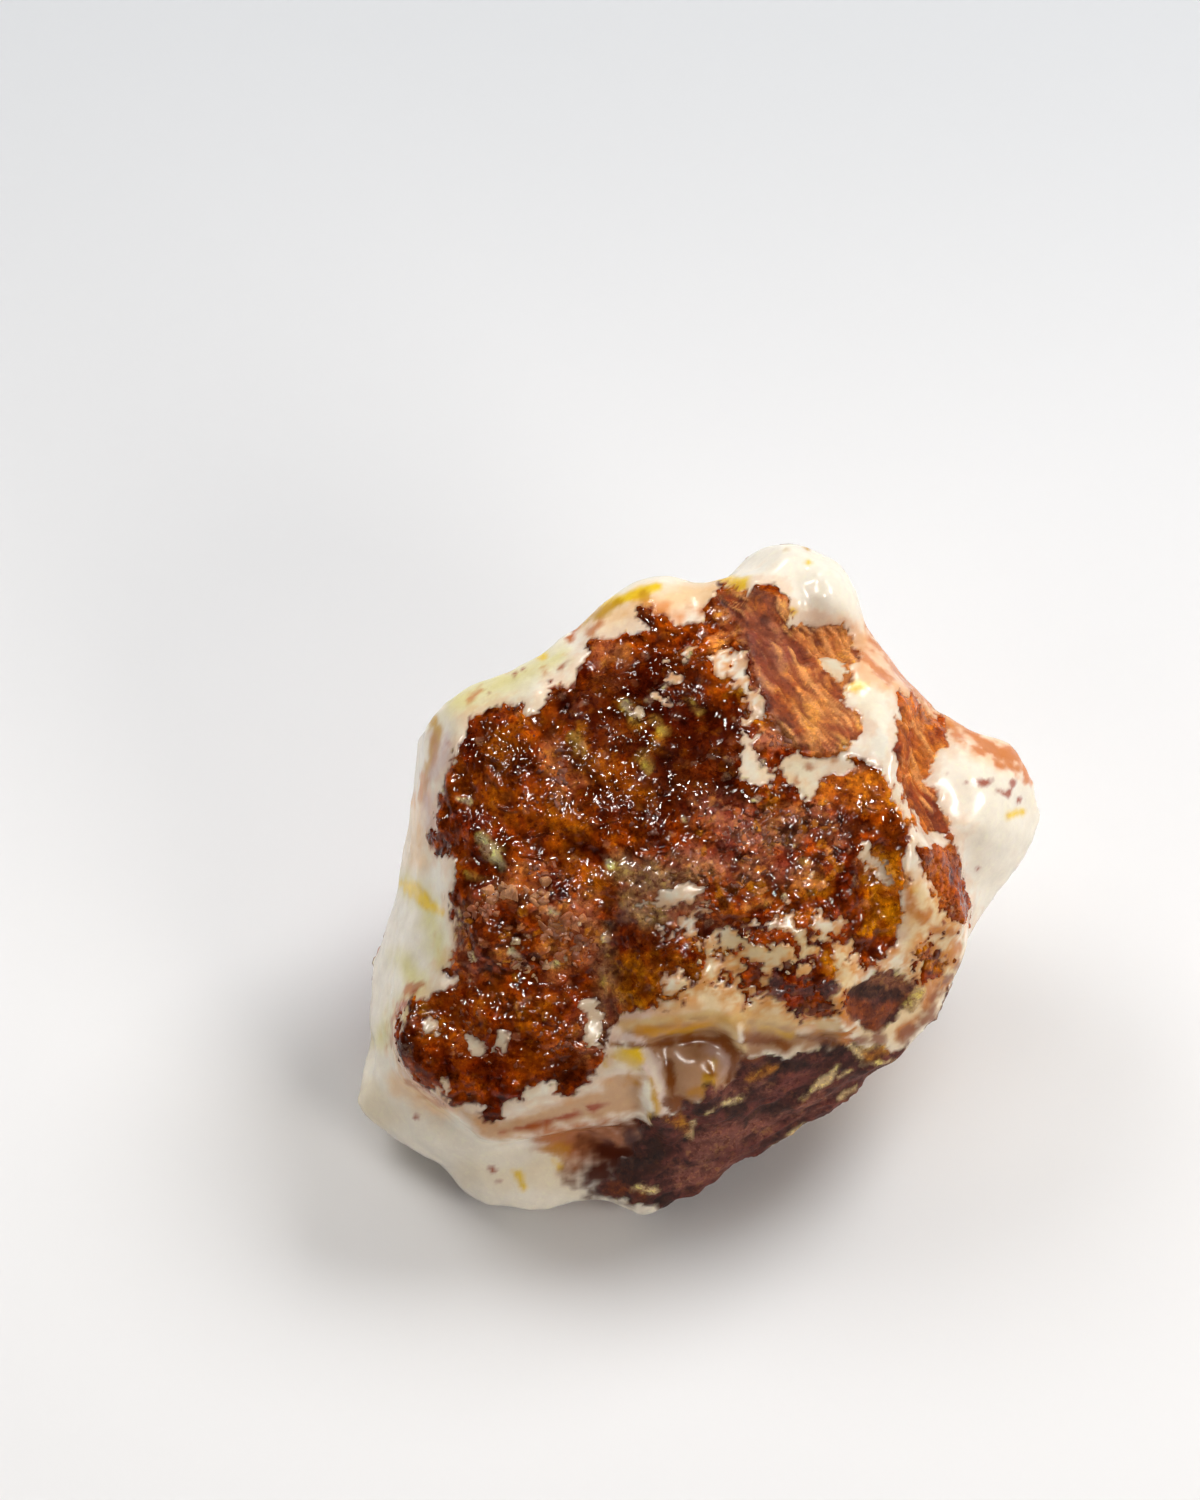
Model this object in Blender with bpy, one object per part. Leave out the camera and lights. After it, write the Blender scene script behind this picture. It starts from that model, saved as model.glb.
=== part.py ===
# A natural lump of boulder opal: white opal under a crust of brown ironstone, in one piece.
# Metres, +Z up. The stone lies on a flat spot at z = 0, and its box is centred on the Z axis.
#
# The side that shows is drawn on a sketch plane that faces a viewer looking down along +Y.
# A sketch point is (right, up, near) in millimetres, where near is the distance in front of
# the plane. The hidden side is given as plain (x, y, z) places in millimetres.

import math

import bmesh
import bpy
import numpy as np
from mathutils import Matrix, Vector, noise

MM = 0.001

# Driving dimensions, in millimetres and degrees: where the sketch plane stands, and the point
# inside the stone that its corners are joined round
VIEW_ELEVATION = 60.0
SKETCH_HEIGHT = 25.0
HEART = Vector((0.0, 2.0, 13.0))

# The height below which the underside is worn flat, and how far above it that reaches
REST_HEIGHT = -0.05
REST_REACH = 0.03

# The fineness of the surface: facets before and after it is roughened, and how many are kept
VOXEL = 0.45
FINE_VOXEL = 0.33
SMOOTHINGS = 2
TRIANGLES = 9600

# The rough surface: broad lumps, chips with bevelled edges, and how much of both the opal has
BROAD_SIZE = 5.0
BROAD_DEPTH = 0.6
CHIP_SIZE = 2.6
CHIP_DEPTH = 0.36
CHIP_BEVEL = 0.35
CHIP_SINK = 0.6
OPAL_ROUGHNESS = 0.25
ROUGH_BLEND = 1.5

# The broken beds on the hidden side, and how steep their undersides are beside their tops
BED_SPACING = 3.4
BED_WANDER = 1.3
BED_DEPTH = 0.55
BED_STEEPNESS = 4.0
BED_SINK = 0.4

# How quickly worked shapes fade where the surface turns away from the viewer
TURN_FADE = 2.5

# The outline that the sketch sees, clockwise from the upper left
OUTLINE = [
    (-16.3, 12.7, -8.0), (-13.3, 13.7, -7.5), (-10.7, 15.3, -8.0), (-8.0, 17.2, -8.0),
    (-6.3, 18.9, -9.0), (-4.0, 20.3, -9.0), (-2.0, 20.6, -9.5), (0.0, 19.9, -8.0),
    (2.5, 20.5, -9.0), (3.3, 22.0, -11.0), (5.0, 22.7, -11.0), (7.5, 22.6, -10.5),
    (9.5, 21.2, -10.5), (10.8, 19.0, -10.0), (11.5, 16.3, -10.0), (13.3, 14.1, -10.5),
    (16.0, 12.0, -11.0), (19.0, 10.0, -12.0), (21.3, 9.0, -12.5), (22.7, 7.0, -13.0),
    (23.2, 5.0, -14.0), (22.7, 2.3, -15.0), (21.3, 0.0, -15.5), (19.3, -2.3, -15.0),
    (17.9, -4.3, -12.0), (17.0, -6.3, -10.0), (16.0, -9.0, -9.5), (14.0, -11.3, -10.0),
    (11.3, -13.2, -10.5), (9.7, -15.0, -11.0), (6.7, -17.0, -12.0), (3.3, -19.0, -12.5),
    (0.0, -21.0, -12.8), (-2.3, -22.3, -13.0), (-4.0, -23.1, -13.5), (-5.7, -22.1, -13.5),
    (-7.0, -21.7, -13.5), (-10.3, -22.5, -13.8), (-14.7, -21.9, -14.0), (-17.3, -19.5, -15.0),
    (-21.3, -17.3, -16.0), (-23.3, -15.7, -16.5), (-23.2, -13.0, -17.0), (-22.5, -10.0, -17.0),
    (-22.0, -6.0, -17.0), (-21.0, -2.7, -16.0), (-20.3, 0.0, -15.0), (-19.7, 3.3, -13.5),
    (-19.4, 6.7, -12.5), (-19.0, 9.3, -11.0), (-18.0, 11.3, -9.5),
]

# The rim where the crust ends and the white border falls away, left and top
CRUST_RIM = [
    (-17.3, -7.0, -4.8), (-16.3, -4.0, -4.2), (-16.7, 0.7, -4.3), (-17.3, 4.7, -4.5),
    (-16.7, 8.0, -4.2), (-15.3, 11.0, -4.2), (-12.0, 12.0, -4.0), (-9.3, 13.3, -4.2),
    (-6.7, 16.0, -5.0), (-3.3, 18.0, -6.0), (0.0, 18.3, -6.0), (2.3, 19.3, -6.3),
    (4.0, 20.0, -6.2), (5.7, 18.7, -6.2),
]

# The white border outside that rim
BORDER = [
    (-20.0, -5.3, -9.5), (-18.7, -1.3, -8.0), (-18.3, 3.3, -7.5), (-18.0, 8.0, -7.0),
    (-16.7, 11.3, -6.0), (-10.7, 13.9, -5.8), (-6.7, 17.7, -7.0), (-1.3, 19.3, -7.8),
]

# The gently domed crust
CRUST = [
    (-13.3, 8.0, -2.8), (-9.3, 10.0, -2.4), (-4.0, 12.0, -2.2), (0.0, 15.3, -3.5),
    (2.7, 16.0, -4.0), (-13.3, 2.0, -2.4), (-8.0, 4.0, -1.2), (-3.3, 5.3, -0.6),
    (1.3, 6.7, -0.5), (0.0, 1.3, 0.0), (-4.7, 0.0, -0.5), (-9.3, -1.3, -1.6),
    (-14.0, -3.3, -3.0), (-10.0, -6.0, -2.8), (-6.7, -5.3, -2.3), (-6.2, -9.3, -3.4),
    (-2.7, -5.3, -0.8), (1.3, -5.3, -0.8), (5.3, -5.3, -1.2), (5.3, 0.0, -0.2),
    (9.3, -1.3, -1.2), (8.7, 4.0, -1.0), (13.3, 0.0, -2.4), (15.3, -3.3, -4.0),
]

# The toe of crust at the lower left: its top, its rim, the foot of its broken side, and the
# undercut where that side meets the slab
TOE_TOP = [(-15.3, -9.3, -4.0), (-10.7, -10.0, -3.2), (-16.7, -12.0, -4.8), (-12.0, -13.0, -4.3)]
TOE_RIM = [
    (-19.6, -8.3, -6.0), (-20.0, -10.7, -6.3), (-19.2, -12.7, -6.3), (-17.0, -14.3, -5.8),
    (-14.3, -15.8, -5.5), (-11.3, -14.7, -4.9), (-8.0, -13.7, -4.4), (-5.7, -12.0, -4.0),
]
LEDGE_FOOT = [
    (-20.1, -8.0, -7.8), (-20.5, -10.7, -8.2), (-19.6, -13.1, -8.0), (-17.0, -15.0, -7.6),
    (-14.3, -17.2, -7.2), (-10.7, -16.9, -7.2), (-6.7, -16.1, -7.0), (-4.0, -15.2, -7.0),
]
UNDERCUT = [
    (-20.8, -8.0, -10.9), (-21.1, -10.7, -11.4), (-20.3, -13.6, -11.0), (-17.5, -15.7, -10.7),
    (-14.5, -18.0, -10.4), (-10.7, -17.7, -10.2), (-6.5, -17.0, -10.0), (-3.8, -16.3, -9.4),
]

# The white slab below the ledge
SLAB = [
    (-19.0, -17.2, -12.0), (-14.7, -19.4, -11.4), (-10.7, -19.4, -11.0), (-6.7, -19.2, -10.9),
    (-12.0, -21.0, -12.1), (-22.0, -14.0, -13.5), (-21.9, -10.0, -13.2),
]

# The white knob at the top
TOP_KNOB = [
    (8.0, 20.3, -7.0), (6.7, 21.3, -8.0), (9.7, 18.3, -7.5), (7.0, 17.7, -7.2), (4.7, 21.3, -8.5),
]

# The dry slope on the upper right, and the white rib that bounds it
DRY_SLOPE = [
    (6.0, 14.7, -4.6), (8.7, 16.0, -6.5), (10.0, 12.0, -4.5), (6.0, 10.7, -2.6), (9.3, 8.7, -2.6),
]
WHITE_RIB = [(12.0, 12.7, -5.0), (13.0, 10.0, -4.3), (12.7, 7.3, -3.2), (13.5, 4.7, -3.2)]

# The steep broken band beside the rib, and the wedge of crust below it
BROKEN_BAND = [
    (15.0, 12.0, -8.0), (15.7, 9.0, -8.0), (16.7, 5.3, -7.5), (17.3, 3.0, -7.0),
    (15.0, 2.7, -4.5), (17.7, -2.3, -6.5), (17.7, 0.7, -7.8),
]

# The white knob on the right
RIGHT_KNOB = [
    (18.0, 8.0, -8.5), (20.3, 7.3, -10.0), (20.0, 5.3, -9.5), (21.3, 3.3, -12.0),
    (19.0, 2.0, -10.0), (19.0, -0.7, -12.5),
]

# The lower edge of the crust, the folds below it, and the plum-coloured side
LOWER_EDGE = [
    (-3.3, -8.8, -2.0), (0.0, -8.7, -1.7), (2.7, -9.0, -2.0), (6.0, -8.7, -2.6),
    (9.3, -8.0, -3.0), (12.0, -6.0, -3.4), (14.7, -6.0, -5.0),
]
FOLDS = [
    (-4.0, -12.0, -4.0), (-0.7, -11.0, -4.6), (0.0, -13.3, -5.0), (3.0, -12.0, -5.6),
    (6.7, -11.3, -5.2), (10.0, -11.0, -6.0), (12.0, -9.3, -6.0), (14.7, -8.7, -7.5),
]
PLUM_SIDE = [
    (-2.7, -16.0, -6.8), (1.3, -16.0, -8.0), (6.0, -14.7, -8.6), (9.3, -13.0, -8.2),
    (-4.0, -20.0, -10.3), (0.0, -18.7, -10.0), (4.0, -17.0, -10.3),
]

# The hidden side as plain places: the back, the flanks and the underside
BACK = [
    (0.8, 22.4, 24.6), (2.2, 23.4, 24.1), (4.0, 24.0, 22.0), (-3.0, 22.5, 21.0),
    (9.5, 22.5, 19.0), (-9.0, 19.0, 17.5), (14.0, 17.5, 15.5), (-15.0, 14.5, 14.0),
    (2.0, 23.0, 13.5), (-7.0, 20.0, 10.0), (9.0, 19.5, 10.5), (-17.5, 10.0, 8.5),
    (16.5, 12.0, 10.0),
]
FLANKS = [
    (20.0, 7.5, 11.0), (17.5, 4.5, 9.0), (15.5, -0.5, 9.0), (12.0, -2.5, 6.0),
    (-20.5, 4.5, 8.0), (-21.0, -2.0, 5.0), (7.0, -5.0, 3.0), (0.5, -9.5, 2.0),
]
UNDERSIDE = [
    (-20.0, -5.5, 1.2), (-16.5, -8.0, 0.9), (-11.0, -10.0, 0.8), (-3.0, -9.5, 0.6),
    (5.0, -5.5, 0.6), (10.5, 0.0, 1.3), (14.0, 5.5, 2.4), (10.0, 13.0, 2.6),
    (2.0, 16.0, 2.6), (-7.0, 14.5, 1.8), (-14.5, 7.5, 1.5), (-18.0, 0.5, 1.3),
    (-12.0, -3.0, -0.4), (-2.0, -4.0, -0.7), (5.0, 2.5, -0.7), (-8.0, 6.0, -0.5),
    (6.0, 8.0, -0.3), (-1.0, 10.0, -0.4), (-1.0, 3.0, -0.9),
]

# Where the crust and the plum-coloured stone end on the sketch plane. Inside, the stone is rough.
ROUGH_EDGE = [
    (-15.3, 11.0), (-12.0, 12.0), (-9.3, 13.2), (-7.3, 16.0), (-3.3, 17.9), (0.8, 18.7),
    (3.3, 20.0), (5.7, 19.3), (7.0, 16.7), (10.3, 16.8), (12.0, 15.3), (16.0, 12.0),
    (20.0, 9.7), (17.3, 8.0), (16.3, 5.3), (17.7, -2.7), (17.0, -7.3), (13.3, -12.0),
    (8.7, -16.0), (0.0, -21.3), (-3.3, -21.0), (-2.7, -16.7), (-6.0, -11.3), (-8.3, -14.3),
    (-12.7, -15.0), (-16.7, -14.3), (-19.7, -12.0), (-20.1, -9.3), (-17.0, -6.7), (-16.7, -1.7),
    (-17.3, 5.3),
]

# Shapes worked into the side that shows: a path on the sketch plane, its half width, and its
# rise. A path of one point is a round lump, and a negative rise is a groove or a hollow.
FRONT_SHAPES = {
    "rim of the toe": ([(-19.2, -8.6), (-19.5, -10.7), (-18.6, -12.5), (-16.6, -13.9)], 0.6, 0.45),
    "foot of the toe": ([(-16.8, -15.0), (-14.3, -17.1), (-10.7, -16.8), (-4.4, -15.3)], 0.4, 0.5),
    "undercut of the toe": ([(-17.6, -16.0), (-14.5, -18.1), (-10.7, -17.8), (-6.5, -17.1)], 0.5, -0.6),
    "arch over the hollow": ([(-5.3, -10.2), (-2.7, -9.6), (0.7, -9.1), (2.2, -9.4)], 0.7, 0.9),
    "arch, right leg": ([(2.3, -9.8), (2.6, -11.3)], 0.6, 0.8),
    "hollow under the arch": ([(-3.6, -11.3), (-1.5, -11.0), (0.6, -10.6), (1.9, -10.9)], 0.6, -1.3),
    "hollow, right of the bulb": ([(2.0, -11.3), (2.4, -12.7), (2.3, -14.0)], 0.6, -1.1),
    "bulb in the hollow": ([(-0.5, -12.2), (0.6, -13.0), (0.2, -13.8)], 1.1, 0.9),
    "hanging fold": ([(-4.1, -11.0), (-3.5, -13.0), (-2.9, -15.0), (-2.5, -16.7)], 0.6, 1.1),
    "crease beside the fold": ([(-4.9, -13.2), (-4.4, -15.3)], 0.45, -0.6),
    "crease right of the fold": ([(-2.2, -11.8), (-1.9, -14.5)], 0.5, -0.7),
    "bead above the ledge": ([(-5.4, -11.9)], 0.8, 0.9),
    "valley beside the toe": ([(-5.9, -3.0), (-6.4, -6.7), (-6.2, -9.7)], 1.0, -0.6),
    "brown hollow under the ledge": ([(-8.0, -18.3), (-5.2, -18.5)], 1.4, -0.9),
    "pane of ochre opal": ([(11.9, 1.0), (11.9, -3.8)], 1.2, -0.7),
    "edge beside the pane": ([(10.2, 2.0), (10.3, -1.5)], 0.5, 0.6),
    "lip above the pane": ([(9.7, 1.9), (11.3, 2.9), (13.2, 2.9)], 0.5, 0.5),
    "lump of crust above the lip": ([(10.8, 5.3), (12.2, 4.4)], 1.0, 0.5),
    "rib, upper half": ([(11.0, 11.8), (12.6, 9.3), (12.4, 6.6), (13.6, 4.0)], 1.0, 0.8),
    "rib, lower half": ([(13.9, 2.8), (14.7, 0.0), (16.6, -3.3)], 0.7, 0.7),
    "broken band": ([(14.6, 11.0), (14.4, 7.0), (15.6, 3.8)], 0.8, -0.7),
    "crack across the band": ([(14.8, 3.1), (17.0, 2.8)], 0.4, -0.7),
    "wedge below the crack": ([(15.4, 1.7), (16.4, -0.5), (17.3, -2.4)], 0.7, 0.4),
    "groove beside the wedge": ([(14.9, 0.9), (16.4, -2.4)], 0.4, -0.5),
    "crease beside the right knob": ([(17.9, 2.2), (18.3, -0.8), (18.0, -3.0)], 0.4, -0.9),
    "right knob": ([(18.4, 6.6), (19.6, 3.2)], 2.2, 0.9),
    "pocket at the lower right": ([(11.3, -7.6), (13.4, -7.8)], 1.3, -1.1),
    "rim of the pocket": ([(10.2, -6.2), (9.1, -8.0), (9.7, -10.2)], 0.5, 0.7),
    "cavity under the top knob": ([(7.4, 16.2), (9.9, 16.0)], 0.8, -1.2),
    "top knob": ([(8.4, 19.4)], 2.2, 1.1),
    "top knob, far lobe": ([(5.6, 21.7)], 1.3, 0.7),
    "crest beside the dry slope": ([(3.3, 16.5), (3.6, 12.7), (6.0, 10.3), (10.3, 9.0)], 0.8, 0.5),
    "crust peak": ([(3.6, 19.6), (5.2, 18.0)], 0.8, 0.7),
    "hollow beside the peak": ([(1.2, 17.6), (2.0, 14.4)], 0.8, -0.4),
    "upper plum ledge": ([(0.0, -15.6), (2.7, -14.5)], 0.4, 0.5),
    "lower plum ledge": ([(6.5, -14.9), (9.0, -13.4), (10.9, -12.4), (13.6, -11.7)], 0.4, 0.7),
    "crease under the plum ledge": ([(6.9, -15.7), (9.4, -14.3), (11.4, -13.1)], 0.4, -0.7),
    "crease above the plum side": ([(4.0, -10.7), (7.3, -10.4), (9.3, -11.4)], 0.5, -0.6),
    "crease across the crust": ([(-16.3, -6.4), (-12.0, -6.3), (-8.0, -7.0)], 0.7, -0.5),
    "cluster of granules": ([(-14.5, -1.0), (-12.0, 0.0), (-9.0, -1.5)], 1.6, 0.4),
    "left border, glassy edge": ([(-18.0, 10.7), (-18.4, 6.7), (-19.2, 2.0)], 0.5, 0.4),
    "dip in the left border": ([(-18.0, 2.0), (-18.2, -2.0)], 0.8, -0.4),
    "upper border lobe": ([(-5.0, 18.6), (-2.5, 19.3)], 1.1, 0.6),
    "notch in the upper border": ([(-8.3, 16.0), (-8.1, 17.4)], 0.6, -0.7),
}


def sketch_turn():
    """The turn from sketch axes (right, up, near) to the upright frame."""
    return Matrix.Rotation(math.radians(90.0 - VIEW_ELEVATION), 3, "X")


def from_sketch(points):
    turn = sketch_turn()
    lift = Vector((0.0, 0.0, SKETCH_HEIGHT))
    return [turn @ Vector(p) + lift for p in points]


def to_sketch(places):
    """Places in the upright frame as rows of (right, up, near)."""
    return (places - np.array((0.0, 0.0, SKETCH_HEIGHT))) @ np.array(sketch_turn())


def all_corners():
    """Every corner of the stone, in millimetres in the upright frame."""
    sketched = (
        OUTLINE + CRUST_RIM + BORDER + CRUST + TOE_TOP + TOE_RIM + LEDGE_FOOT + UNDERCUT
        + SLAB + TOP_KNOB + DRY_SLOPE + WHITE_RIB + BROKEN_BAND + RIGHT_KNOB + LOWER_EDGE + FOLDS
        + PLUM_SIDE
    )
    return from_sketch(sketched) + [Vector(p) for p in BACK + FLANKS + UNDERSIDE]


def rough_block():
    """The corners joined into one faceted block, each to its neighbours as seen from the heart."""
    corners = all_corners()
    ball = bmesh.new()
    for corner in corners:
        ball.verts.new((corner - HEART).normalized())
    bmesh.ops.convex_hull(ball, input=ball.verts[:])
    for vert, corner in zip(ball.verts, corners):
        vert.co = corner
    bmesh.ops.recalc_face_normals(ball, faces=ball.faces)
    mesh = bpy.data.meshes.new("rough_block")
    ball.to_mesh(mesh)
    ball.free()
    return mesh


def with_modifier(mesh, kind, **settings):
    """The mesh as one modifier leaves it."""
    holder = bpy.data.objects.new("holder", mesh)
    bpy.context.scene.collection.objects.link(holder)
    modifier = holder.modifiers.new(kind.lower(), kind)
    for name, value in settings.items():
        setattr(modifier, name, value)
    graph = bpy.context.evaluated_depsgraph_get()
    made = bpy.data.meshes.new_from_object(holder.evaluated_get(graph))
    bpy.data.objects.remove(holder)
    return made


def softened(mesh):
    """The block with even facets and worn edges."""
    even = with_modifier(mesh, "REMESH", mode="VOXEL", voxel_size=VOXEL)
    return with_modifier(even, "SMOOTH", factor=0.5, iterations=SMOOTHINGS)


def places_and_normals(mesh):
    count = len(mesh.vertices) * 3
    places = np.empty(count, np.float32)
    normals = np.empty(count, np.float32)
    mesh.vertices.foreach_get("co", places)
    mesh.vertices.foreach_get("normal", normals)
    return places.reshape(-1, 3).astype(float), normals.reshape(-1, 3).astype(float)


def distance_to_path(points, path):
    """How far each 2-D point is from a path of straight runs."""
    nearest = np.full(len(points), np.inf)
    for start, end in zip(path, path[1:] or path):
        start, run = np.array(start), np.array(end) - np.array(start)
        share = np.clip((points - start) @ run / max(run @ run, 1e-9), 0.0, 1.0)
        nearest = np.minimum(nearest, np.linalg.norm(points - start - share[:, None] * run, axis=1))
    return nearest


def work_front(mesh):
    """Works the named ridges, hollows and lumps into the side that shows."""
    places, normals = places_and_normals(mesh)
    turn = np.array(sketch_turn())
    seen = to_sketch(places)
    facing = np.clip((normals @ turn)[:, 2] * TURN_FADE, 0.0, 1.0)
    rise = np.zeros(len(places))
    for path, half_width, height in FRONT_SHAPES.values():
        away = distance_to_path(seen[:, :2], path)
        rise += height * np.exp(-((away / half_width) ** 2))
    push = normals + turn[:, 2]
    push /= np.linalg.norm(push, axis=1)[:, None]
    places += push * (rise * facing)[:, None]
    mesh.vertices.foreach_set("co", places.astype(np.float32).ravel())
    mesh.update()


def within(points, edge):
    """How far each 2-D point is inside a closed edge: negative outside."""
    odd = np.zeros(len(points), bool)
    for (x1, y1), (x2, y2) in zip(edge, edge[1:] + edge[:1]):
        if y1 == y2:
            continue
        crosses = (y1 > points[:, 1]) != (y2 > points[:, 1])
        odd ^= crosses & (points[:, 0] < x1 + (points[:, 1] - y1) * (x2 - x1) / (y2 - y1))
    away = distance_to_path(points, edge + edge[:1])
    return np.where(odd, away, -away)


def roughness_share(seen, facing):
    """1 on the crust and on the hidden side, and less on the smooth opal."""
    on_crust = np.clip(0.5 + within(seen[:, :2], ROUGH_EDGE) / ROUGH_BLEND, 0.0, 1.0)
    hidden = np.clip(-facing * TURN_FADE, 0.0, 1.0)
    return OPAL_ROUGHNESS + (1.0 - OPAL_ROUGHNESS) * np.maximum(on_crust, hidden)


def bed_ledge(near):
    """The profile of broken beds that lie parallel to the sketch plane."""
    part_of_bed = (near / BED_SPACING) % 1.0
    return min(part_of_bed, (1.0 - part_of_bed) * BED_STEEPNESS) - BED_SINK


def roughen(mesh):
    """Chips and hollows of broken stone all over, and broken beds round the hidden side."""
    places, normals = places_and_normals(mesh)
    seen = to_sketch(places)
    facing = (normals @ np.array(sketch_turn()))[:, 2]
    shares = roughness_share(seen, facing)
    beds = BED_DEPTH * np.clip(-facing * TURN_FADE, 0.0, 1.0)
    moved = []
    for place, normal, near, share, bed in zip(places, normals, seen[:, 2], shares, beds):
        spot = Vector(place)
        broad = noise.fractal(spot / BROAD_SIZE, 1.0, 2.0, 3)
        gaps = noise.voronoi(spot / CHIP_SIZE)[0]
        chip = min((gaps[1] - gaps[0]) / CHIP_BEVEL, 1.0) - CHIP_SINK
        depth = share * (BROAD_DEPTH * broad + CHIP_DEPTH * chip)
        moved.append(place + normal * (depth + bed * bed_ledge(near + BED_WANDER * broad)))
    mesh.vertices.foreach_set("co", np.array(moved, np.float32).ravel())
    mesh.update()


def thinned(mesh):
    """The same surface in fewer facets, close where it is rough."""
    triangles = sum(len(face.vertices) - 2 for face in mesh.polygons)
    return with_modifier(mesh, "DECIMATE", ratio=TRIANGLES / triangles, use_collapse_triangulate=True)


def flatten_rest(mesh, reach):
    """Wears everything below the rest height, and within reach above it, down to one flat spot."""
    for vert in mesh.vertices:
        if vert.co.z < REST_HEIGHT + reach:
            vert.co.z = REST_HEIGHT
    mesh.update()


def centred(mesh):
    """Moves the origin to the middle of the stone's box, at its base."""
    places, _ = places_and_normals(mesh)
    low, high = places.min(0), places.max(0)
    middle = Vector(((low[0] + high[0]) / 2, (low[1] + high[1]) / 2, low[2]))
    print("the sketch's foot is at", [round(-value, 3) for value in middle])
    mesh.transform(Matrix.Translation(-middle))


def stone_material():
    material = bpy.data.materials.new("boulder_opal")
    material.use_nodes = True
    shader = material.node_tree.nodes["Principled BSDF"]
    shader.inputs["Base Color"].default_value = (0.42, 0.17, 0.07, 1.0)
    shader.inputs["Roughness"].default_value = 0.3
    shader.inputs["Metallic"].default_value = 0.0
    return material


def main():
    for obj in list(bpy.data.objects):
        bpy.data.objects.remove(obj)
    mesh = softened(rough_block())
    work_front(mesh)
    roughen(mesh)
    mesh = with_modifier(mesh, "REMESH", mode="VOXEL", voxel_size=FINE_VOXEL)
    flatten_rest(mesh, 0.0)
    mesh = thinned(mesh)
    flatten_rest(mesh, REST_REACH)
    centred(mesh)
    mesh.transform(Matrix.Scale(MM, 4))
    mesh.materials.append(stone_material())
    stone = bpy.data.objects.new("opal_stone", mesh)
    bpy.context.scene.collection.objects.link(stone)


main()
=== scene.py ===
import math
import random

import bmesh
import bpy
import numpy as np
from mathutils import Matrix, Vector, noise
from mathutils.bvhtree import BVHTree


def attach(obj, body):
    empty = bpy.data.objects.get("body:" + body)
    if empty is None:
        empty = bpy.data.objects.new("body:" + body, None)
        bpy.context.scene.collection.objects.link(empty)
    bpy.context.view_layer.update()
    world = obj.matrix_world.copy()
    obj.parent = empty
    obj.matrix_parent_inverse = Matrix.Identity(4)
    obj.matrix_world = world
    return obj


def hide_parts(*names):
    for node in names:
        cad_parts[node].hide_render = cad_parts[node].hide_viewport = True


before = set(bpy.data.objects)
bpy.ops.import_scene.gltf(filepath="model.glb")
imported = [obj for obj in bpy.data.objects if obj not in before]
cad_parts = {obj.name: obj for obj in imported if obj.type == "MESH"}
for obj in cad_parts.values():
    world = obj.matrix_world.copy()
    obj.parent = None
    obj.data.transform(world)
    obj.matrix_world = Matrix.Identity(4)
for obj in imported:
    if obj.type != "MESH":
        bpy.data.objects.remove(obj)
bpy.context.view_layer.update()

# Boulder opal: a white opal lump under a wet rust crust, with dry orange and plum rock.
# Markings lie on a flat sketch that faces the viewer, x to the right and y down.
sketch = {
    "elevation": 60.0,             # how steeply the viewer looks down
    "height": 25.0,                # mm, where the sketch's zero point is
    "foot": (0.06, -5.9, 0.05),    # mm, the shift that stood the stone on the origin
    "zeroX": 700.0,
    "zeroY": 880.0,
    "perMm": 15.0,
}
mm = 0.001
sketchTurn = Matrix.Rotation(math.radians(90.0 - sketch["elevation"]), 3, "X")
towardsViewer = sketchTurn @ Vector((0.0, 0.0, 1.0))


def linear(red, green, blue):
    # screen colour, 0 to 255, to linear light
    values = []
    for part in (red, green, blue):
        share = part / 255.0
        values.append(share / 12.92 if share <= 0.04045 else ((share + 0.055) / 1.055) ** 2.4)
    return np.array(values)


def smooth(low, high, values):
    # 0 at low to 1 at high, also where low is the larger
    share = np.clip((values - low) / (high - low), 0.0, 1.0)
    return share * share * (3.0 - 2.0 * share)


def over(base, colour, share):
    # a colour laid over others by each place's share
    share = share.reshape(-1, 1)
    return base * (1.0 - share) + colour * share


def onSketch(places):
    # places in mm -> sketch x, y and depth towards the viewer in mm
    turned = (places - np.array(sketch["foot"]) - (0.0, 0.0, sketch["height"])) @ np.array(sketchTurn)
    x = sketch["zeroX"] + sketch["perMm"] * turned[:, 0]
    y = sketch["zeroY"] - sketch["perMm"] * turned[:, 1]
    return np.stack([x, y], axis=1), turned[:, 2]


def offSketch(x, y, depth):
    flat = Vector(((x - sketch["zeroX"]) / sketch["perMm"], (sketch["zeroY"] - y) / sketch["perMm"], depth))
    return sketchTurn @ flat + Vector(sketch["foot"]) + Vector((0.0, 0.0, sketch["height"]))


def areaDepth(points, corners):
    # mm inside (+) or outside (-) a closed outline
    ring = np.array(corners, dtype=float)
    nearest = np.full(len(points), 1e9)
    inside = np.zeros(len(points), dtype=bool)
    for start, end in zip(ring, np.roll(ring, -1, axis=0)):
        along = end - start
        share = np.clip(((points - start) @ along) / (along @ along), 0.0, 1.0)
        gap = points - (start + share[:, None] * along)
        nearest = np.minimum(nearest, (gap * gap).sum(axis=1))
        crosses = (start[1] > points[:, 1]) != (end[1] > points[:, 1])
        rise = end[1] - start[1] if end[1] != start[1] else 1e-9
        meets = start[0] + (points[:, 1] - start[1]) * (end[0] - start[0]) / rise
        inside ^= crosses & (points[:, 0] < meets)
    reach = np.sqrt(nearest) / sketch["perMm"]
    return np.where(inside, reach, -reach)


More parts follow.
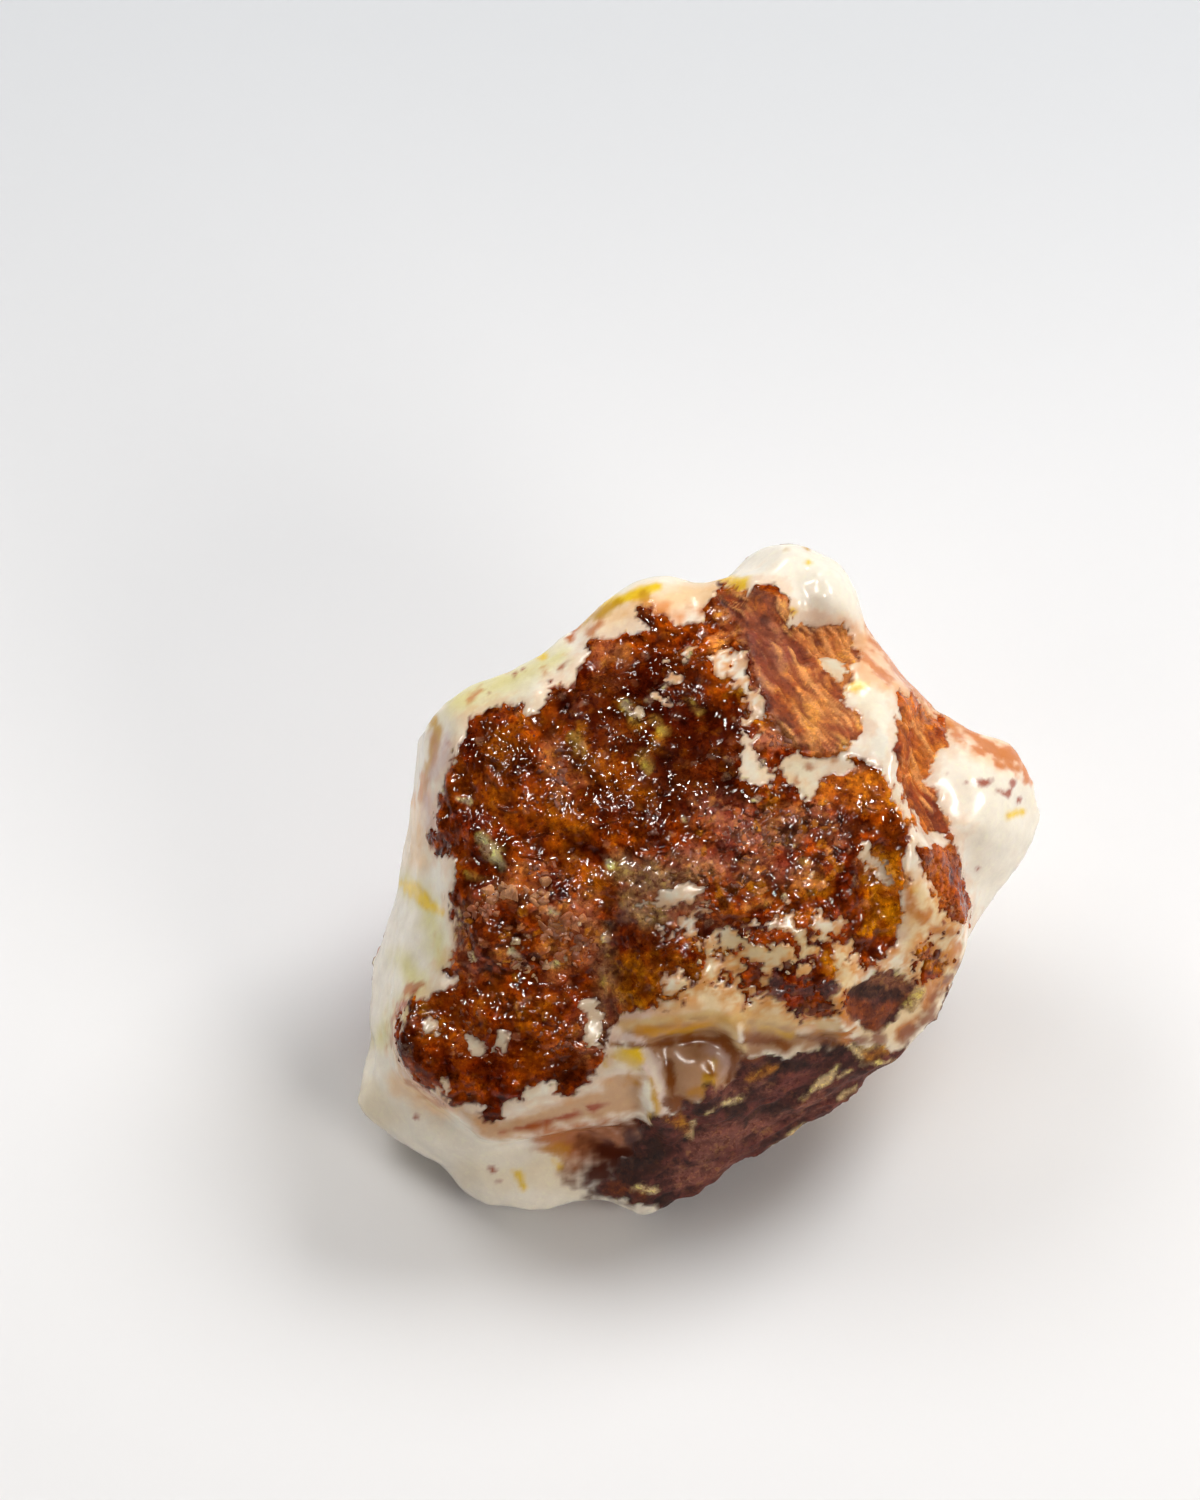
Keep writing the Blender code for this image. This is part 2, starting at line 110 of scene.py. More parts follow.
def strokeDepth(points, stops):
    # mm inside (+) or outside (-) a stroke given as x, y, half width
    path = np.array(stops, dtype=float)
    if len(path) == 1:
        path = np.vstack([path, path + (0.01, 0.0, 0.0)])
    best = np.full(len(points), -1e9)
    for start, end in zip(path[:-1], path[1:]):
        along = end[:2] - start[:2]
        share = np.clip(((points - start[:2]) @ along) / max(along @ along, 1e-6), 0.0, 1.0)
        gap = np.linalg.norm(points - (start[:2] + share[:, None] * along), axis=1)
        best = np.maximum(best, start[2] + share * (end[2] - start[2]) - gap)
    return best / sketch["perMm"]


def shapeDepth(points, shapes):
    best = np.full(len(points), -1e9)
    for shape in shapes:
        depth = areaDepth(points, shape) if len(shape[0]) == 2 else strokeDepth(points, shape)
        best = np.maximum(best, depth)
    return best


noiseSettings = {"octaveFall": 0.55, "gain": 1.6, "step": (7.3, 3.1, 5.7), "cellStep": (4.1, 9.7, 2.3),
                 "cellSpread": 13.7}


def noiseAt(places, size, shift, octaves=1, fall=noiseSettings["octaveFall"]):
    # smooth noise, about -1 to 1, at places in mm
    move = Vector([shift * step for step in noiseSettings["step"]])
    total = np.zeros(len(places))
    strength = 1.0
    for octave in range(octaves):
        scale = 2.0 ** octave / size
        total += strength * np.array([noise.noise(Vector(p) * scale + move) for p in places])
        strength *= fall
    return total * noiseSettings["gain"]


def cellsAt(places, size, shift):
    # distance to the nearest cell border, 0 on it, and a random value for each cell
    move = Vector([shift * step for step in noiseSettings["cellStep"]])
    edges = np.zeros(len(places))
    values = np.zeros(len(places))
    for index, place in enumerate(places):
        gaps, centres = noise.voronoi(Vector(place) / size + move)
        edges[index] = gaps[1] - gaps[0]
        values[index] = noise.cell(centres[0] * noiseSettings["cellSpread"])
    return edges, values % 1.0


# Where the rock lies: outlines are x, y corners; strokes are x, y, half width.
crustAreas = [
    [(450, 885), (452, 860), (440, 835), (438, 805), (447, 770), (460, 745), (465, 720), (480, 714),
     (500, 708), (515, 700), (527, 712), (548, 695), (550, 683), (578, 680), (580, 660), (590, 640),
     (612, 640), (625, 630), (650, 628), (652, 608), (675, 624), (700, 620), (712, 600), (720, 586),
     (748, 588), (757, 579), (776, 586), (785, 602), (790, 622), (850, 625), (858, 650), (852, 672),
     (846, 690), (850, 708), (868, 733), (850, 750), (872, 766), (888, 775), (895, 800), (903, 818),
     (908, 845), (908, 880), (905, 920), (900, 940), (888, 962), (868, 972), (856, 966), (850, 990),
     (844, 1018), (825, 1022), (800, 1022), (780, 1005), (760, 1003), (738, 1005), (722, 986), (700, 985),
     (690, 1004), (665, 1008), (640, 1008), (622, 1014), (612, 1035), (603, 1048), (604, 1060), (590, 1085),
     (575, 1094), (560, 1095), (545, 1085), (535, 1100), (515, 1103), (510, 1112), (495, 1121), (487, 1120),
     (485, 1105), (455, 1105), (445, 1100), (425, 1090), (410, 1075), (399, 1055), (398, 1030), (401, 1012),
     (411, 1001), (430, 991), (455, 982), (443, 970), (450, 950), (463, 925), (450, 905)],
    [(915, 847), (948, 846), (959, 860), (971, 905), (975, 932), (944, 908), (921, 878)],
    [(897, 692), (912, 694), (932, 708), (948, 728), (951, 747), (928, 764), (931, 785), (950, 818),
     (958, 832), (952, 838), (920, 832), (904, 797), (893, 762), (896, 742)],
    [(910, 946), (934, 938), (948, 952), (938, 974), (914, 976)],
    [(430, 835, 4), (433, 842, 5), (438, 850, 3)],
    [(640, 612, 7), (655, 622, 8)],
]
whiteHoles = [
    [(787, 753), (815, 756), (850, 750), (846, 766), (822, 783), (808, 795), (797, 784), (780, 766)],
    [(752, 758, 4), (756, 772, 8), (768, 784, 4)],
    [(722, 655, 4), (732, 668, 9), (740, 680, 4)],
    [(826, 655, 4), (838, 668, 6)],
    [(752, 705, 4), (751, 722, 5), (747, 735, 3)],
    [(672, 930, 4), (690, 926, 8), (700, 918, 4)],
    [(640, 905, 3), (665, 900, 5), (700, 890, 3)],
    [(728, 938, 8), (745, 948, 9), (768, 958, 10), (790, 950, 7)],
    [(700, 968, 5), (738, 962, 8), (760, 975, 4)],
    [(672, 985, 6), (700, 998, 11), (724, 1000, 10), (736, 992, 5)],
    [(756, 985, 5), (776, 993, 9), (770, 1008, 8)],
    [(812, 925, 6), (840, 932, 9), (848, 950, 6)],
    [(790, 925, 4), (806, 945, 6), (800, 965, 4)],
    [(845, 955, 6), (850, 975, 7), (838, 992, 5), (820, 1000, 4)],
    [(905, 890, 4), (915, 915, 11), (905, 945, 8), (890, 968, 5)],
    [(868, 858, 5), (880, 868, 9), (885, 880, 4)],
    [(812, 1018, 5), (838, 1024, 8)],
    [(586, 1008, 6), (592, 1022, 8), (588, 1040, 5)],
    [(428, 1026, 6)],
    [(477, 1046, 6), (472, 1038, 4)],
    [(504, 1034, 4), (503, 1048, 5)],
    [(440, 1088, 7)],
    [(688, 650, 4), (680, 662, 5), (668, 676, 5), (655, 698, 8)],
    [(628, 708, 6), (640, 712, 4)],
    [(543, 1090, 6), (530, 1098, 5)],
]
mixedAreas = [
    [(640, 915), (700, 890), (760, 900), (850, 905), (862, 955), (905, 950), (925, 875), (962, 900),
     (960, 975), (900, 1040), (850, 1040), (800, 1022), (740, 1008), (700, 1004), (640, 1008), (625, 960)],
    [(668, 640), (700, 640), (750, 650), (760, 700), (740, 735), (700, 700), (650, 720)],
]
plumAreas = [
    [(630, 1204), (588, 1188), (612, 1178), (634, 1150), (650, 1118), (672, 1112), (690, 1101), (735, 1078),
     (742, 1052), (790, 1052), (830, 1042), (868, 1044), (905, 1052), (935, 1020), (955, 985), (985, 1000),
     (960, 1060), (880, 1100), (850, 1140), (745, 1200), (735, 1215), (690, 1225), (660, 1212)],
    [(780, 985, 12), (815, 1000, 18), (830, 985, 8)],
    [(842, 1004), (850, 990), (866, 980), (880, 966), (905, 973), (920, 984), (926, 1000), (912, 1012),
     (900, 1008), (890, 1024), (876, 1034), (862, 1030), (850, 1016)],
]
dryAreas = [
    [(718, 596), (748, 588), (785, 602), (802, 624), (850, 625), (857, 650), (850, 708), (868, 733),
     (845, 752), (800, 748), (772, 720), (765, 690), (750, 640)],
    [(900, 702), (925, 728), (950, 747), (927, 765), (931, 785), (950, 818), (958, 832), (952, 838),
     (920, 832), (904, 797), (893, 762), (896, 742)],
]
waxyAreas = [
    # the folded layers shine less than the rest of the opal
    [(630, 1030), (700, 1010), (745, 1040), (735, 1090), (690, 1110), (640, 1100)],
]
granuleAreas = [
    [(455, 890), (600, 870), (610, 960), (560, 985), (470, 985)],
    [(690, 800), (800, 790), (850, 800), (850, 920), (700, 920)],
    [(500, 1000, 10), (560, 1040, 20)],
]

# Colours laid over each other in turn: red, green, blue, strength, softness and raggedness in mm.
crustTones = [
    ((80, 24, 3), 0.92, 1.2, 1.2, [
        [(560, 690), (640, 650), (700, 670), (745, 730), (740, 800), (650, 830), (560, 800)],
        [(480, 750, 12), (520, 745, 16)], [(455, 890, 8), (480, 935, 10), (520, 940, 8)]]),
    ((92, 30, 4), 0.6, 0.8, 1.0, [
        [(405, 1045, 9), (420, 1065, 10), (450, 1078, 8)], [(535, 1060, 14), (580, 1060, 12)],
        [(640, 930, 14), (670, 940, 12)]]),
    ((138, 56, 6), 0.7, 0.8, 0.9, [
        [(455, 760, 12), (470, 800, 16), (520, 800, 18)],
        [(430, 1030, 14), (480, 1050, 20), (540, 1040, 24)], [(450, 1000, 10), (520, 990, 14)]]),
    ((164, 78, 8), 0.8, 0.8, 0.8, [
        [(500, 800, 10), (560, 822, 12), (610, 840, 10)], [(600, 760, 14), (650, 800, 12)],
        [(440, 1000, 8), (470, 1010, 12), (500, 1030, 10), (545, 1000, 8)],
        [(590, 880, 16), (560, 850, 10)], [(505, 745, 14), (530, 715, 8)]]),
    ((164, 92, 10), 0.8, 0.6, 0.9, [
        [(620, 945), (700, 960), (712, 985), (690, 1003), (625, 1010), (600, 985)],
        [(720, 870, 12), (750, 890, 12), (780, 880, 8)], [(800, 880, 10), (820, 890, 8)],
        [(575, 735, 6), (585, 760, 7)], [(622, 705, 5), (640, 722, 5)], [(735, 690, 6), (745, 705, 4)],
        [(795, 810, 7), (770, 805, 6)], [(725, 955, 6), (700, 945, 5)], [(420, 1010, 6), (432, 1030, 7)],
        [(655, 740, 5), (645, 760, 5)]]),
    ((172, 92, 52), 0.85, 0.5, 0.7, [
        [(468, 905, 9), (500, 893, 12), (540, 893, 13), (560, 915, 16), (575, 930, 12)],
        [(545, 945, 10), (580, 955, 12), (555, 975, 8)], [(520, 865, 8), (548, 870, 10)],
        [(552, 745, 7), (556, 770, 9), (562, 790, 7), (582, 785, 6)], [(605, 650, 9), (625, 655, 8)],
        [(600, 668, 7)], [(470, 955, 8), (505, 950, 6)]]),
    ((168, 126, 96), 0.75, 0.9, 0.5, [
        [(620, 865, 10), (650, 880, 17), (690, 870, 12)], [(625, 905, 9), (650, 912, 12), (690, 905, 8)],
        [(610, 925, 6), (604, 960, 7), (608, 1000, 6), (602, 1035, 6)]]),
    ((164, 94, 70), 0.8, 0.9, 0.7, [
        [(700, 800, 12), (730, 825, 20), (780, 840, 20), (790, 815, 12)], [(820, 815, 14), (838, 835, 10)],
        [(690, 855, 10), (730, 865, 10), (800, 870, 14)], [(585, 900, 8), (590, 940, 10)],
        [(455, 925, 7), (470, 962, 7), (480, 970, 6)], [(590, 1020, 10), (588, 1045, 9)],
        [(700, 905, 6), (712, 930, 9)]]),
    ((174, 102, 74), 0.9, 0.6, 0.8, [
        [(748, 612), (772, 622), (800, 655), (805, 685), (790, 700), (768, 690), (752, 700), (750, 650)],
        [(762, 735, 10), (785, 740, 11)], [(800, 700, 6), (812, 708, 5)]]),
    ((210, 126, 64), 0.95, 0.5, 0.7, [
        [(790, 622), (856, 616), (872, 650), (864, 680), (842, 684), (812, 668), (800, 645)],
        [(772, 690), (800, 660), (852, 682), (866, 708), (872, 735), (845, 760), (806, 752), (796, 716)],
        [(718, 640, 7), (735, 630, 8), (720, 612, 6)]]),
    ((186, 92, 26), 0.9, 0.5, 0.6, [
        [(812, 770), (860, 768), (888, 780), (892, 808), (860, 812), (830, 808), (815, 795)],
        [(790, 690, 9), (770, 720, 5)], [(830, 690, 9)], [(748, 595, 8), (765, 605, 12), (780, 612, 7)],
        [(720, 900, 7), (745, 905, 7)], [(808, 915, 8), (780, 915, 7)]]),
    ((96, 36, 8), 0.85, 0.35, 0.5, [
        [(725, 596, 4), (712, 606, 4)], [(740, 600, 4), (752, 590, 5), (776, 606, 4), (790, 628, 4)],
        [(803, 628, 3), (815, 628, 4)], [(838, 630, 4), (848, 630, 3)],
        [(838, 822, 3), (862, 829, 4), (880, 832, 3), (898, 826, 3)], [(852, 860, 4), (854, 900, 5)],
        [(860, 945, 8), (880, 955, 7)], [(705, 935, 10), (715, 930, 8)], [(668, 935, 10), (640, 940, 8)],
        [(780, 945, 6), (790, 965, 9)], [(640, 745, 10), (620, 738, 8)], [(650, 775, 12), (700, 790, 12)],
        [(596, 690, 8), (630, 680, 6)], [(510, 860, 8), (470, 855, 7)]]),
    ((200, 114, 8), 0.95, 0.4, 0.5, [
        [(862, 848), (900, 850), (906, 880), (903, 925), (890, 935), (862, 930), (857, 890)],
        [(828, 958, 6), (840, 970, 8), (845, 978, 4)], [(888, 770, 5), (890, 800, 4)],
        [(757, 720, 6), (768, 718, 4)], [(728, 585, 5), (742, 590, 5)], [(955, 900, 3), (966, 922, 4)],
        [(700, 942, 4), (690, 935, 4)], [(920, 950, 6), (942, 965, 5)]]),
    ((170, 142, 66), 0.65, 0.25, 0.4, [
        [(625, 706, 5), (634, 716, 6)], [(655, 722, 5), (664, 732, 4)], [(642, 756, 5), (648, 768, 5)],
        [(572, 735, 4), (580, 752, 5)], [(486, 838, 6), (498, 858, 6)], [(470, 875, 5), (484, 880, 4)],
        [(690, 700, 4), (700, 712, 3)], [(738, 672, 3), (744, 690, 3)], [(540, 900, 3)]]),
    ((190, 180, 138), 0.85, 0.3, 0.2, [[(483, 838, 4), (492, 850, 6), (502, 864, 4)]]),
    ((204, 186, 160), 0.75, 0.15, 0.25, [
        [(626, 704, 3), (630, 712, 3)], [(548, 908, 3), (558, 914, 3)], [(512, 950, 3), (522, 958, 3)],
        [(546, 964, 3), (556, 962, 3)], [(460, 799, 3), (468, 801, 3)], [(610, 862, 3)], [(682, 818, 2.5)],
        [(672, 676, 3), (664, 688, 3)], [(650, 700, 4)], [(688, 650, 3), (684, 662, 3)], [(760, 762, 4)]]),
    ((228, 160, 80), 0.8, 0.3, 0.4, [
        [(868, 858, 4), (880, 866, 8), (888, 880, 4)], [(845, 720, 8), (862, 722, 4)],
        [(838, 738, 3), (845, 742, 4)], [(800, 858, 3), (806, 862, 3)], [(745, 905, 3), (765, 900, 4)]]),
    ((202, 104, 36), 0.95, 0.3, 0.4, [
        [(886, 680), (915, 680), (940, 700), (960, 720), (965, 750), (942, 766), (945, 785), (962, 815),
         (972, 836), (952, 850), (912, 842), (892, 802), (880, 765), (884, 735)]]),
    ((166, 76, 26), 0.95, 0.3, 0.4, [
        [(905, 840), (952, 836), (972, 860), (985, 905), (988, 940), (940, 920), (910, 885)],
        [(898, 705, 3), (893, 760, 5)], [(925, 805, 6), (935, 825, 5)]]),
]
# stains on the opal, with some painted shade under the arch and below the toe ledge
opalStainsAndShade = [
    ((160, 106, 54), 0.9, 0.4, 0.5, [
        [(622, 1020), (665, 1006), (738, 1008), (800, 1018), (842, 1026), (850, 1042), (790, 1052),
         (742, 1056), (735, 1084), (692, 1104), (668, 1112), (640, 1062), (625, 1048)]]),
    ((214, 184, 134), 0.9, 0.22, 0.2, [
        [(622, 1022, 7), (665, 1017, 8), (715, 1016, 7), (734, 1026, 6), (741, 1046, 5)],
        [(735, 1012, 5), (790, 1020, 4), (835, 1026, 5)]]),
    ((226, 204, 192), 0.85, 0.18, 0.2, [
        [(622, 1016, 3), (660, 1010, 3), (700, 1008, 3)], [(612, 1036, 5), (640, 1038, 3)],
        [(640, 1042, 5), (652, 1062, 9), (660, 1090, 6), (663, 1120, 5), (655, 1142, 3)]]),
    ((192, 148, 112), 0.9, 0.4, 0.3, [
        [(678, 1055, 10), (692, 1075, 15), (705, 1080, 14), (712, 1058, 12)]]),
    ((186, 156, 144), 0.85, 0.4, 0.3, [[(712, 1048, 6), (727, 1060, 6), (724, 1072, 4)]]),
    # dark brown: the lines under the arch's ridge and beside the bulb are painted shade; the strokes down
    # the fold are brown strips of the rock
    ((118, 62, 18), 0.9, 0.16, 0.3, [
        [(612, 1043, 2.5), (645, 1045, 3), (700, 1038, 3), (722, 1037, 3), (735, 1054, 4), (728, 1080, 3)],
        [(742, 1040, 3), (765, 1036, 7), (778, 1042, 4)], [(668, 1062, 3), (672, 1095, 4), (690, 1103, 3)],
        [(800, 1034, 4), (830, 1040, 5)], [(668, 1100, 7), (680, 1112, 6)]]),
    ((196, 146, 96), 0.85, 0.4, 0.3, [
        [(455, 1106), (500, 1122), (560, 1100), (600, 1088), (612, 1062), (640, 1076), (642, 1112),
         (560, 1126), (500, 1142), (480, 1136)]]),
    ((240, 200, 150), 0.9, 0.9, 0.4, [
        [(585, 625, 8), (640, 605, 14), (700, 595, 16), (715, 588, 10)], [(420, 800, 8), (415, 860, 10)],
        [(440, 1105, 14), (400, 1085, 10)]]),
    ((216, 205, 120), 0.75, 0.9, 0.3, [
        [(400, 880, 8), (430, 905, 8), (440, 960, 8)], [(400, 960, 8), (420, 985, 10), (380, 1040, 8)],
        [(455, 700, 12), (510, 680, 12), (560, 655, 8)], [(430, 715, 8)]]),
    ((236, 196, 8), 0.95, 0.22, 0.2, [
        [(402, 884, 4), (413, 890, 8), (428, 903, 6), (442, 912, 3)], [(538, 652, 6), (545, 658, 3)],
        [(512, 1172, 2), (518, 1176, 4), (524, 1190, 2)], [(852, 688, 5), (862, 684, 6)],
        [(722, 578, 4), (740, 585, 7), (745, 580, 3)], [(1010, 815, 4), (1025, 812, 3)],
        [(598, 606, 3), (620, 598, 5), (640, 593, 6), (656, 587, 5)], [(808, 563, 3)], [(793, 612, 4)],
        [(900, 880, 5), (912, 890, 4)], [(650, 1115, 2), (655, 1128, 3)], [(640, 1055, 7), (625, 1052, 5)],
        [(560, 1168, 3), (552, 1160, 2)]]),
    ((200, 150, 20), 0.9, 0.2, 0.25, [
        [(578, 624, 3), (600, 613, 5), (618, 601, 4)], [(645, 595, 5), (648, 606, 5)], [(808, 547, 3)],
        [(786, 549, 2)], [(431, 712, 4), (438, 735, 6), (433, 757, 5), (424, 776, 4), (421, 800, 3)],
        [(648, 1030, 2.5), (690, 1028, 3), (722, 1018, 3), (736, 1016, 3)],
        [(712, 1064, 5), (708, 1084, 7)], [(652, 1078, 3), (657, 1110, 4)],
        [(762, 1028, 3), (790, 1034, 4)]]),
    ((226, 146, 88), 0.85, 0.4, 0.6, [
        [(424, 775, 2), (421, 800, 3)], [(650, 610, 6), (680, 618, 5)], [(655, 608, 4), (665, 606, 3)],
        [(852, 626), (868, 640), (895, 668), (930, 700), (965, 716), (952, 724), (915, 706), (888, 690),
         (858, 676)]]),
    ((240, 196, 156), 0.9, 0.6, 0.5, [
        [(850, 622), (874, 628), (900, 660), (935, 690), (985, 725), (1040, 755), (1030, 778), (985, 765),
         (950, 735), (915, 712), (885, 692), (858, 680)]]),
    ((206, 118, 58), 0.9, 0.2, 0.45, [
        [(868, 628, 3), (878, 645, 4), (898, 672, 4), (915, 690, 5), (935, 702, 4)],
        [(856, 650, 4), (872, 664, 5), (888, 680, 4)], [(940, 706, 3), (960, 720, 5), (975, 734, 5)],
        [(978, 738, 5), (1000, 752, 7), (1026, 757, 6), (1038, 772, 4), (1044, 794, 2)],
        [(1000, 764, 3), (1022, 770, 4), (1032, 782, 2)], [(950, 724, 3), (968, 744, 3), (985, 752, 3)]]),
    ((160, 84, 30), 0.85, 0.15, 0.4, [
        [(990, 747, 3), (1003, 756, 4), (1024, 757, 3), (1036, 770, 2)], [(897, 668, 2), (912, 686, 2)],
        [(962, 722, 3), (970, 730, 2)], [(1040, 775, 2), (1044, 792, 1.5)]]),
    ((210, 130, 72), 0.85, 0.25, 0.5, [
        [(872, 630, 2), (880, 645, 3), (900, 672, 3), (915, 690, 4), (930, 700, 3), (950, 708, 1)],
        [(955, 722, 3), (966, 728, 4)], [(978, 738, 4), (990, 742, 3)],
        [(950, 714, 2), (985, 742, 4), (1005, 755, 7), (1025, 757, 6), (1036, 770, 4), (1043, 795, 1)],
        [(1004, 765, 4), (1020, 770, 3)], [(862, 660, 3), (880, 672, 3)], [(905, 715, 3), (940, 742, 4)]]),
    ((228, 196, 176), 0.9, 0.14, 0.1, [
        [(412, 996, 2), (398, 1012, 3), (395, 1040, 3), (406, 1074, 3), (440, 1100, 3), (452, 1108, 2)]]),
    ((176, 100, 66), 0.8, 0.14, 0.3, [
        [(400, 1004, 2), (391, 1022, 2), (390, 1048, 2)], [(408, 1082, 3), (425, 1096, 3), (445, 1106, 2)],
        [(408, 990, 5), (425, 984, 3)]]),
    ((158, 62, 34), 0.9, 0.15, 0.3, [
        [(486, 690, 2), (490, 694, 1.5)], [(560, 668, 2), (566, 660, 1.5)], [(602, 640, 2)],
        [(448, 742, 2)], [(966, 781, 2)], [(975, 783, 2), (990, 782, 3)], [(998, 790, 3), (1008, 794, 3)],
        [(1014, 783, 3)], [(1020, 800, 3)], [(430, 836, 3), (434, 843, 5), (439, 850, 2)], [(515, 674, 2)],
        [(523, 669, 3)], [(788, 765, 2)], [(795, 775, 2), (796, 782, 2)], [(808, 766, 3)], [(833, 762, 3)],
        [(808, 783, 2)], [(905, 905, 3), (922, 920, 4)], [(935, 928, 3), (950, 934, 3)],
        [(418, 990, 2), (402, 1005, 3)], [(500, 1132, 1), (530, 1126, 1.5), (560, 1120, 1)],
        [(540, 1121, 2), (565, 1116, 3), (585, 1112, 1)], [(590, 1108, 1.5), (606, 1104, 2)],
        [(415, 1119, 1.2)], [(493, 1171, 1.5)], [(498, 1183, 1)], [(978, 868, 1.2)],
        [(576, 622, 1.5), (571, 640, 1.5)], [(945, 773, 1.2)]]),
    ((196, 110, 50), 0.8, 0.25, 0.4, [
        [(571, 640, 2), (580, 622, 2)], [(655, 613, 5), (668, 619, 4)], [(690, 606, 4), (702, 612, 4)],
        [(545, 672, 3)], [(508, 668, 2)], [(482, 690, 2), (470, 700, 1.5)],
        [(590, 632, 4), (600, 622, 3)]]),
    ((178, 112, 58), 0.75, 0.4, 0.3, [[(433, 735, 3), (437, 750, 4), (428, 780, 4), (424, 802, 3)]]),
    ((214, 190, 186), 0.75, 0.5, 0.3, [
        [(446, 738, 5), (444, 760, 7), (436, 772, 5)], [(430, 800, 5), (430, 825, 7)]]),
    ((170, 88, 14), 0.92, 0.8, 0.6, [
        [(540, 1136, 10), (575, 1143, 20), (605, 1145, 24), (632, 1138, 18)], [(575, 1170, 12)]]),
    # near-black brown below the toe ledge: a dark stain, deepened as painted shadow under the ledge's
    # overhang
    ((72, 20, 2), 0.97, 0.6, 0.7, [
        [(596, 1150, 14), (622, 1158, 18), (600, 1176, 14), (575, 1176, 8)], [(630, 1140, 14)],
        [(600, 1188, 9), (640, 1197, 9)], [(648, 1145, 12), (640, 1128, 7)],
        [(640, 1165, 14), (650, 1190, 8)]]),
    ((222, 186, 96), 0.85, 0.3, 0.3, [[(607, 1062, 6), (620, 1056, 9), (634, 1062, 5)]]),
    ((196, 134, 44), 0.8, 0.3, 0.4, [
        [(640, 1030, 4), (665, 1026, 5), (700, 1022, 5), (728, 1014, 7)], [(736, 1020, 4), (746, 1034, 4)],
        [(628, 1076, 4), (640, 1084, 3)], [(690, 1092, 4), (706, 1090, 4)],
        [(560, 1152, 8), (545, 1150, 5)]]),
    # brown: the lines under the arch's ridge are painted shade; the other strokes are brown strips and
    # specks of the rock
    ((134, 72, 20), 0.85, 0.25, 0.4, [
        [(650, 1046, 2.5), (690, 1038, 3.5), (722, 1040, 4), (735, 1054, 4)],
        [(668, 1066, 3), (672, 1092, 5)], [(708, 1064, 4), (712, 1072, 5)],
        [(745, 1036, 4), (770, 1036, 6), (786, 1046, 4)], [(676, 1100, 6), (684, 1112, 5)],
        [(690, 1018, 1.5), (706, 1016, 1.5)]]),
    ((236, 220, 200), 0.85, 0.15, 0.2, [
        [(610, 1060, 4), (622, 1068, 6), (606, 1072, 4)], [(645, 1050, 3), (653, 1066, 4), (659, 1088, 4)],
        [(739, 1024, 1.5), (740, 1040, 1.5)], [(782, 1012, 4), (770, 1006, 3)],
        [(800, 1030, 4), (812, 1026, 4)]]),
    ((226, 192, 132), 0.75, 0.9, 0.5, [
        [(700, 930), (860, 925), (862, 1000), (800, 1030), (660, 1012)],
        [(905, 870), (962, 905), (965, 990), (905, 1045), (850, 1045), (862, 980), (900, 960)]]),
    ((190, 108, 22), 0.88, 0.3, 0.6, [
        [(904, 880, 6), (912, 905, 7), (922, 915, 5)], [(932, 930, 5), (950, 932, 4)],
        [(925, 952, 9), (940, 962, 7)], [(958, 945, 3), (950, 960, 4)], [(872, 956, 6), (886, 946, 6)],
        [(840, 1002, 5), (850, 1022, 8)], [(845, 1036, 5)], [(935, 985, 6), (925, 1005, 5)],
        [(900, 1032, 7), (916, 1020, 5)], [(942, 900, 3)]]),
    ((136, 74, 46), 0.85, 0.4, 0.8, [
        [(936, 972, 6), (948, 978, 6), (938, 1000, 6)], [(908, 1036, 7), (928, 1018, 6)], [(880, 1042, 6)],
        [(860, 1042, 5)], [(945, 992, 5), (930, 1015, 5)], [(958, 966, 4)]]),
]
